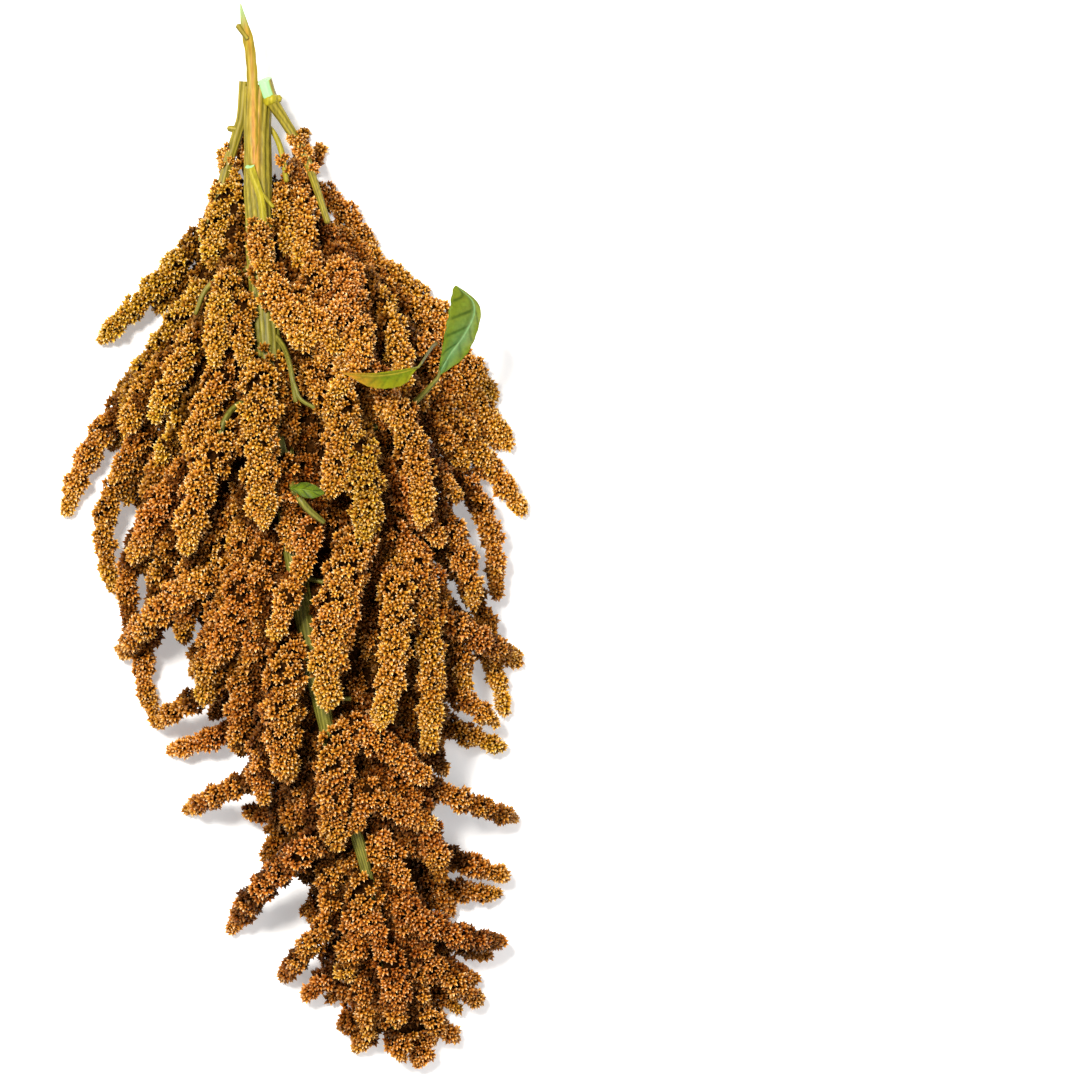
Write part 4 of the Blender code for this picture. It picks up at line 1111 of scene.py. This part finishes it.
    def build(self) -> None:
        """Makes every bare part of the plant."""
        rind = RindFinish().material()
        main = self.tube(STALK, self.main)
        main.piece("main_stalk", rind, "stem")
        sides = [
            self.tube(LEFT_STALK, self.left, 1.0),
            self.tube(RIGHT_STALK, self.right, 2.0),
            self.tube(COLLAR, self.collar, 0.5),
            self.tube(FRONT_SHOOT, self.shoot, 3.0),
        ]
        Surface.joined(sides).piece("side_stalks", rind, "stem")
        twigs = []
        for number, rows in enumerate((*TWIGS, *LEAF_STALKS, *PETIOLES)):
            fresh = self.fresh_twig * (number in FRESH_TWIGS)
            dim = self.twig_painted_shade * (number in SHADED_TWIGS)
            twigs.append(self.tube(rows, Rind(10, 24, 4, 0.05, fresh=fresh, dim=dim), number))
        Surface.joined(twigs).piece("twigs", rind, "stem")
        self.splinter().piece("splinter", rind, "stem")


# The leaves.


class LeafKind(Enum):
    """The three leaves, by the solid that each stands for."""

    LONG = "leaf_long"
    CURLED = "leaf_curled"
    YOUNG = "leaf_young"


@dataclass(frozen=True)
class Leaf:
    """A leaf blade: base and tip, outline, fold of its halves, bend, edge wave and veins.

    Lean is how far the side veins slant, to the base above 0 and to the tip below it.
    """

    kind: LeafKind
    base: Point
    tip: Point
    outline: Rows
    fold: float
    bend: float
    wave: float
    veins: int
    lean: float
    thickness: float = 0.5

    def surface(self, steps: int = 64, columns: int = 23) -> Surface:
        """The blade: its outline folded at the rib, bent along, waved and veined.

        Its rise adds the fold, the bend's sine, the edge wave's and the pillows between the
        side veins, and both faces share it.

        Args:
            steps: Points along.
            columns: Points across.

        Returns:
            A closed blade with its veins, its way along and its way across marked.
        """
        base, tip = np.array(self.base), np.array(self.tip)
        along = tip - base
        across = unit(np.cross(along, (0.0, 0.0, 1.0)))
        up = unit(np.cross(across, along))
        s = np.linspace(0, 1, steps)[:, None]
        w = np.linspace(-1, 1, columns)[None]
        curve = smooth_rows(self.outline, 200)
        left, middle_rib, right = (np.interp(s, curve[:, 0], curve[:, k]) for k in (1, 2, 3))
        half = np.where(w < 0, middle_rib - left, right - middle_rib)
        edge = 1 + 0.025 * np.sin(2 * math.pi * self.veins * 1.5 * s)
        slanted = (s + self.lean * np.abs(w) ** 0.8) * self.veins
        from_vein = np.abs((slanted % 1) - 0.5) * 2
        vein = smoothstep(from_vein, 0.66, 0.96) * smoothstep(1 - np.abs(w), 0.0, 0.2)
        rib = 1 - smoothstep(np.abs(w), 0.03, 0.11)
        rise = (
            self.fold * half * np.abs(w)
            + self.bend * np.sin(math.pi * s)
            + self.wave * np.sin(2 * math.pi * 3 * s) * w**2
            + 0.34 * (1 - from_vein**2) * (1 - w**2) * np.minimum(half / 6, 1)
            - 0.1 * rib
        )
        middle = base + s[..., None] * along + (middle_rib + w * half * edge)[..., None] * across
        # Both faces stop just short of each other at the rim, which a row of quads closes.
        thinned = (1 - 0.7 * np.abs(w) ** 6) * (0.4 + 0.6 * np.sin(math.pi * s))
        offset = self.thickness / 2 * thinned
        top, under = (middle + (rise + way * offset)[..., None] * up for way in (1, -1))
        points = np.vstack([top.reshape(-1, 3), under.reshape(-1, 3)])
        below = steps * columns
        quads = grid_faces(steps, columns, False)
        one_side = np.arange(1, steps) * columns + columns - 1
        far_end = (steps - 1) * columns + np.arange(columns - 2, -1, -1)
        other_side = np.arange(steps - 2, 0, -1) * columns
        rim = np.concatenate([np.arange(columns), one_side, far_end, other_side])
        after = np.roll(rim, -1)
        walls = np.stack([after, rim, rim + below, after + below], axis=1)
        # Painted shadow: a dark line beside the rib, from a quarter of the way along.
        fold = 0.6 * np.exp(-(((w + 0.13) / 0.06) ** 2)) * smoothstep(s, 0.25, 0.5)
        marks = {"vein": vein, "rib": rib, "fold": fold, "length": s, "side": w}
        for name, values in marks.items():
            marks[name] = np.tile(np.broadcast_to(values, (steps, columns)).ravel(), 2)
        return Surface(points, [quads, quads[:, ::-1] + below, walls], marks)


@dataclass
class Foliage:
    """The three leaves among the spikes."""

    leaves: tuple[Leaf, ...] = (
        Leaf(LeafKind.LONG, (56.5, 73.5, 43.5), (63.4, 109.3, 41), LONG_OUTLINE, 0.25, 3, 0.4, 5, 0.2),
        Leaf(
            LeafKind.CURLED, (47.8, 76.2, 52), (19.3, 73.7, 66), CURLED_OUTLINE, 0.4, -1.5, 0.2, 6, -0.2
        ),
        Leaf(LeafKind.YOUNG, (-1.4, 28.4, 70), (12, 26.5, 71.5), YOUNG_OUTLINE, 0.35, 1, 0.15, 3, -0.3),
    )

    def build(self) -> None:
        """Makes each blade with its own green."""
        finishes = {
            LeafKind.LONG: LeafFinish(
                "long_leaf",
                edge=(0.070, 0.128, 0.004),
                inner=(0.044, 0.140, 0.030),
                tip=(0.105, 0.145, 0.005),
                vein=(0.010, 0.038, 0.002),
                rib=(0.13, 0.27, 0.09),
                vein_share=0.8,
            ),
            LeafKind.CURLED: LeafFinish(
                "curled_leaf",
                edge=(0.20, 0.20, 0.003),
                inner=(0.10, 0.14, 0.003),
                tip=(0.50, 0.20, 0.015),
                vein=(0.06, 0.09, 0.003),
                rib=(0.36, 0.28, 0.020),
                vein_share=0.6,
            ),
            LeafKind.YOUNG: LeafFinish(
                "young_leaf",
                edge=(0.046, 0.078, 0.002),
                inner=(0.12, 0.17, 0.004),
                tip=(0.075, 0.115, 0.005),
                vein=(0.012, 0.028, 0.002),
                rib=(0.12, 0.17, 0.015),
                vein_share=0.85,
            ),
        }
        for leaf in self.leaves:
            node = leaf.kind.value
            leaf.surface().piece(f"{node}_blade", finishes[leaf.kind].material(), node)


# Finishes.


class Nodes:
    """A material's node tree, with a line for each node."""

    def __init__(self, name: str, roughness: float, specular: float = 0.4) -> None:
        """Starts a material with its shader's even values set."""
        self.material = bpy.data.materials.new(name)
        self.material.use_nodes = True
        self.tree = self.material.node_tree
        self.shader = self.tree.nodes["Principled BSDF"]
        self.shader.inputs["Roughness"].default_value = roughness
        self.shader.inputs["Specular IOR Level"].default_value = specular

    def node(self, kind: str, **settings: object) -> bpy.types.Node:
        """A new node with its settings."""
        made = self.tree.nodes.new(kind)
        for name, value in settings.items():
            setattr(made, name, value)
        return made

    def join(self, source: Socket, target: Socket) -> None:
        """Links two sockets."""
        self.tree.links.new(source, target)

    def mark(self, name: str) -> Socket:
        """A number that the mesh carries."""
        return self.node("ShaderNodeAttribute", attribute_name=name).outputs["Fac"]

    def place(self, scale: Point = (1.0, 1.0, 1.0)) -> Socket:
        """The point on the object, stretched."""
        coordinates = self.node("ShaderNodeTexCoord").outputs["Object"]
        mapping = self.node("ShaderNodeMapping")
        mapping.inputs["Scale"].default_value = scale
        self.join(coordinates, mapping.inputs["Vector"])
        return mapping.outputs["Vector"]

    def noise(self, scale: float, detail: float, stretch: Point = (1.0, 1.0, 1.0)) -> Socket:
        """Noise on the object's own coordinates."""
        made = self.node("ShaderNodeTexNoise")
        made.inputs["Scale"].default_value = scale
        made.inputs["Detail"].default_value = detail
        self.join(self.place(stretch), made.inputs["Vector"])
        return made.outputs["Fac"]

    def ramp(self, source: Socket, stops: Stops) -> Socket:
        """Colours along a number."""
        made = self.node("ShaderNodeValToRGB")
        self.join(source, made.inputs["Fac"])
        elements = made.color_ramp.elements
        while len(elements) < len(stops):
            elements.new(0.5)
        for element, (position, colour) in zip(elements, stops):
            element.position = position
            element.color = (*colour, 1.0)
        return made.outputs["Color"]

    def arithmetic(self, operation: str, first: Socket, second: Socket | None = None) -> Socket:
        """A sum, product or size of numbers, with a sum held below 1."""
        made = self.node("ShaderNodeMath", operation=operation, use_clamp=operation == "ADD")
        self.join(first, made.inputs[0])
        if second is not None:
            self.join(second, made.inputs[1])
        return made.outputs[0]

    def span(self, source: Socket, low: float, high: float, to_low: float, to_high: float) -> Socket:
        """A number moved from one range to another, and held inside it."""
        made = self.node("ShaderNodeMapRange")
        ends = {"From Min": low, "From Max": high, "To Min": to_low, "To Max": to_high}
        for name, value in ends.items():
            made.inputs[name].default_value = value
        self.join(source, made.inputs["Value"])
        return made.outputs["Result"]

    def mix(
        self, share: Socket | float, first: Socket | Colour, second: Socket | Colour, blend: str = "MIX"
    ) -> Socket:
        """Two colours mixed by a share."""
        made = self.node("ShaderNodeMix", data_type="RGBA", blend_type=blend)
        ends = {0: share, 6: first, 7: second}
        for socket, value in ((made.inputs[place], value) for place, value in ends.items()):
            if isinstance(value, Socket):
                self.join(value, socket)
            elif isinstance(value, tuple):
                socket.default_value = (*value, 1.0)
            else:
                socket.default_value = value
        return made.outputs[2]

    def bump(self, height: Socket, strength: float, distance: float) -> None:
        """Relief from a height."""
        made = self.node("ShaderNodeBump")
        made.inputs["Strength"].default_value = strength
        made.inputs["Distance"].default_value = distance
        self.join(height, made.inputs["Height"])
        self.join(made.outputs["Normal"], self.shader.inputs["Normal"])

    def colour(self, source: Socket) -> None:
        """Links the base colour."""
        self.join(source, self.shader.inputs["Base Color"])


@dataclass(frozen=True)
class FloretFinish:
    """Dry florets: dark at the base, partly painted shade, orange-brown or gold at the waist, and pale
    at the tip, partly a painted highlight.
    """

    # The near-black bases are partly the florets' own colour and partly painted shade deep between them.
    brown: Stops = (
        (0.0, (0.030, 0.006, 0.001)),
        (0.38, (0.060, 0.011, 0.001)),
        (0.58, (0.39, 0.105, 0.006)),
        (0.80, (0.90, 0.37, 0.052)),
        (1.0, (1.0, 0.76, 0.42)),
    )
    gold: Stops = (
        (0.0, (0.030, 0.012, 0.001)),
        (0.38, (0.060, 0.020, 0.001)),
        (0.58, (0.36, 0.170, 0.004)),
        (0.80, (0.80, 0.48, 0.036)),
        (1.0, (0.98, 0.80, 0.36)),
    )
    # Pale tips: partly the florets' own colour, partly a painted highlight.
    pale_tip: Colour = (0.99, 0.84, 0.60)
    rust: Colour = (0.40, 0.095, 0.010)
    # Painted shade: the shade mark darkens each floret through red-brown towards near-black.
    painted_shade: Stops = (
        (0.0, (0.02, 0.004, 0.001)),
        (0.45, (0.46, 0.33, 0.20)),
        (0.85, (0.90, 0.86, 0.80)),
        (1.0, (1.0, 1.0, 1.0)),
    )

    def material(self) -> bpy.types.Material:
        """Mixes brown and gold by tone, varies each floret, and darkens it by its painted shade."""
        nodes = Nodes("florets", 0.42, 0.45)
        along, tint = nodes.mark("along"), nodes.mark("tint")
        patches = nodes.span(nodes.noise(28.0, 2.0), 0.35, 0.7, 0.0, 0.5)
        tone = nodes.arithmetic("ADD", nodes.mark("tone"), patches)
        colour = nodes.mix(tone, nodes.ramp(along, self.brown), nodes.ramp(along, self.gold))
        colour = nodes.mix(nodes.span(tint, 0.0, 0.25, 0.45, 0.0), colour, self.rust)
        near_tip, palest = nodes.span(along, 0.62, 1.0, 0.0, 1.0), nodes.span(tint, 0.5, 1.0, 0.0, 0.95)
        colour = nodes.mix(nodes.arithmetic("MULTIPLY", near_tip, palest), colour, self.pale_tip)
        # Painted shade multiplies the colour.
        colour = nodes.mix(1.0, colour, nodes.ramp(nodes.mark("shade"), self.painted_shade), "MULTIPLY")
        nodes.colour(colour)
        nodes.shader.inputs["Specular Tint"].default_value = (1.0, 0.6, 0.25, 1.0)
        return nodes.material


@dataclass(frozen=True)
class CoreFinish:
    """The dark inside of the head, seen down gaps: partly its own dark brown, partly painted shade."""

    dark: Colour = (0.006, 0.002, 0.0006)
    light: Colour = (0.045, 0.015, 0.003)

    def material(self) -> bpy.types.Material:
        """Mottled near-black brown, partly painted shade, with a crumbly relief."""
        nodes = Nodes("cores_painted_shade", 1.0, 0.0)
        crumb = nodes.noise(900.0, 4.0)
        nodes.colour(nodes.ramp(crumb, ((0.35, self.dark), (0.7, self.light))))
        nodes.bump(crumb, 0.8, 0.0008)
        return nodes.material


@dataclass(frozen=True)
class RindFinish:
    """The stalk's rind: tan at the cut end, olive further in, with an orange flush; dimmed stalks get
    painted shade.
    """

    tan: Colour = (0.30, 0.235, 0.022)
    olive: Colour = (0.20, 0.18, 0.025)
    flush: Colour = (0.54, 0.21, 0.028)
    fresh: Colour = (0.36, 0.30, 0.012)
    cut_face: Colour = (0.33, 0.66, 0.29)
    # Near-black painted shade for the dimmed stalks.
    dark: Colour = (0.020, 0.016, 0.003)
    groove: Colour = (0.42, 0.46, 0.28)
    fibres: Stops = ((0.3, (0.62, 0.62, 0.62)), (0.7, (1.2, 1.2, 1.15)))

    def material(self) -> bpy.types.Material:
        """Colours by the place along the stalk, with long fibres in colour and relief."""
        nodes = Nodes("rind", 0.5, 0.25)
        split = nodes.node("ShaderNodeSeparateXYZ")
        nodes.join(nodes.place(), split.inputs[0])
        fibres = nodes.noise(160.0, 4.0, (6.0, 0.35, 6.0))
        blotch = nodes.noise(22.0, 3.0, (1.5, 0.5, 1.5))
        from_cut = nodes.span(split.outputs["Y"], 0.06, 0.14, 1.0, 0.0)
        in_groove = nodes.span(nodes.mark("groove"), -1.0, 0.4, 0.9, 0.0)
        blotched = nodes.span(blotch, 0.35, 0.6, 0.55, 1.0)
        stripe = nodes.arithmetic("MULTIPLY", nodes.mark("flush"), blotched)
        colour = nodes.mix(from_cut, self.tan, self.olive)
        # Grooves between the ribs are darker and greener: partly the stalk's own stripes, partly painted
        # shade.
        colour = nodes.mix(in_groove, colour, self.groove, "MULTIPLY")
        colour = nodes.mix(nodes.mark("fresh"), colour, self.fresh)
        colour = nodes.mix(stripe, colour, self.flush)
        colour = nodes.mix(1.0, colour, nodes.ramp(fibres, self.fibres), "MULTIPLY")
        colour = nodes.mix(nodes.mark("cut"), colour, self.cut_face)
        # Painted shade: the dim mark darkens a stalk that dives down into the gaps.
        colour = nodes.mix(nodes.mark("dim"), colour, self.dark)
        nodes.colour(colour)
        nodes.bump(fibres, 0.5, 0.0005)
        return nodes.material


@dataclass(frozen=True)
class LeafFinish:
    """A leaf's greens: its edge, the band by the rib, its tip, its side veins and its rib."""

    name: str
    edge: Colour
    inner: Colour
    tip: Colour
    vein: Colour
    rib: Colour
    vein_share: float
    mottles: Stops = ((0.3, (0.8, 0.8, 0.8)), (0.7, (1.12, 1.12, 1.12)))

    def material(self) -> bpy.types.Material:
        """Blends the greens across and along the blade, with darker veins, a pale rib and a painted
        shadow beside it.
        """
        nodes = Nodes(self.name, 0.5, 0.12)
        mottle = nodes.noise(700.0, 3.0)
        outwards = nodes.span(nodes.arithmetic("ABSOLUTE", nodes.mark("side")), 0.15, 0.85, 0.0, 1.0)
        near_tip = nodes.span(nodes.mark("length"), 0.45, 1.0, 0.0, 1.0)
        veined = nodes.span(nodes.mark("vein"), 0.0, 1.0, 0.0, self.vein_share)
        colour = nodes.mix(outwards, self.inner, self.edge)
        colour = nodes.mix(near_tip, colour, self.tip)
        colour = nodes.mix(veined, colour, self.vein)
        # Painted shadow beside the rib, in the veins' dark green.
        colour = nodes.mix(nodes.mark("fold"), colour, self.vein)
        colour = nodes.mix(nodes.mark("rib"), colour, self.rib)
        colour = nodes.mix(1.0, colour, nodes.ramp(mottle, self.mottles), "MULTIPLY")
        nodes.colour(colour)
        nodes.bump(mottle, 0.3, 0.0003)
        nodes.shader.inputs["Subsurface Weight"].default_value = 0.08
        return nodes.material


# The studio.


@dataclass
class Studio:
    """A pale floor, soft lights and the camera straight above."""

    aim: Pair = (96.8, 8.0)
    camera_height: float = 2530.0
    view_width: float = 432.0
    focus_height: float = 30.0
    sensor: float = 36.0
    floor_greys: Stops = ((0.3, (0.87, 0.87, 0.87)), (0.7, (0.9, 0.9, 0.9)))
    floor_side: float = 6.0
    floor_drop: float = 0.0002
    world_light: float = 0.28
    lights: tuple[tuple[str, Point, float, float, Colour], ...] = (
        ("key", (-0.6, 0.7, 1.8), 0.5, 71.0, (1.0, 0.965, 0.91)),
        ("fill", (1.3, -0.5, 1.3), 1.2, 9.0, (0.97, 0.98, 1.0)),
        ("back", (0.2, -1.5, 1.0), 1.0, 7.0, (1.0, 1.0, 1.0)),
    )

    def floor(self) -> None:
        """A wide pale sheet just under the head, faintly uneven in tone."""
        nodes = Nodes("floor", 0.7, 0.2)
        nodes.colour(nodes.ramp(nodes.noise(3.0, 2.0), self.floor_greys))
        nodes.shader.inputs["Emission Color"].default_value = (1.0, 1.0, 1.0, 1.0)
        nodes.shader.inputs["Emission Strength"].default_value = 0.3
        mesh = bpy.data.meshes.new("floor")
        corners = ((-1, -1), (1, -1), (1, 1), (-1, 1))
        points = [(x * self.floor_side, y * self.floor_side, -self.floor_drop) for x, y in corners]
        mesh.from_pydata(points, [], [(0, 1, 2, 3)])
        mesh.materials.append(nodes.material)
        linked(bpy.data.objects.new("floor", mesh))

    def lamp(self, name: str, place: Point, size: float, power: float, colour: Colour) -> None:
        """A square soft light turned to the middle of the head."""
        light = bpy.data.lights.new(name, "AREA")
        light.size, light.energy, light.color = size, power, colour
        made = linked(bpy.data.objects.new(name, light))
        made.location = place
        made.rotation_euler = made.location.to_track_quat("Z", "Y").to_euler()

    def camera(self) -> None:
        """A long lens over the photograph's middle, looking straight down."""
        lens = bpy.data.cameras.new("camera")
        lens.sensor_width = self.sensor
        lens.lens = self.sensor * (self.camera_height - self.focus_height) / self.view_width
        lens.clip_end = 20.0
        made = linked(bpy.data.objects.new("camera", lens))
        made.location = (np.array((*self.aim, self.camera_height)) - MIDDLE) * MM
        bpy.context.scene.camera = made

    def build(self) -> None:
        """Sets up the floor, the lights, the world and the camera."""
        self.floor()
        for lamp in self.lights:
            self.lamp(*lamp)
        world = bpy.data.worlds.new("studio")
        world.use_nodes = True
        background = world.node_tree.nodes["Background"]
        background.inputs["Color"].default_value = (1.0, 1.0, 1.0, 1.0)
        background.inputs["Strength"].default_value = self.world_light
        scene = bpy.context.scene
        scene.world = world
        scene.view_settings.view_transform = "Standard"
        self.camera()


def main() -> None:
    """Loads the frame and dresses it, sub-assembly by sub-assembly."""
    logging.basicConfig(level=logging.INFO, format="%(name)s %(message)s")
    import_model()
    Studio().build()
    Stem().build()
    Foliage().build()
    SeedHead(HeadPlan()).build()
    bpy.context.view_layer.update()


if __name__ == "__main__":
    main()
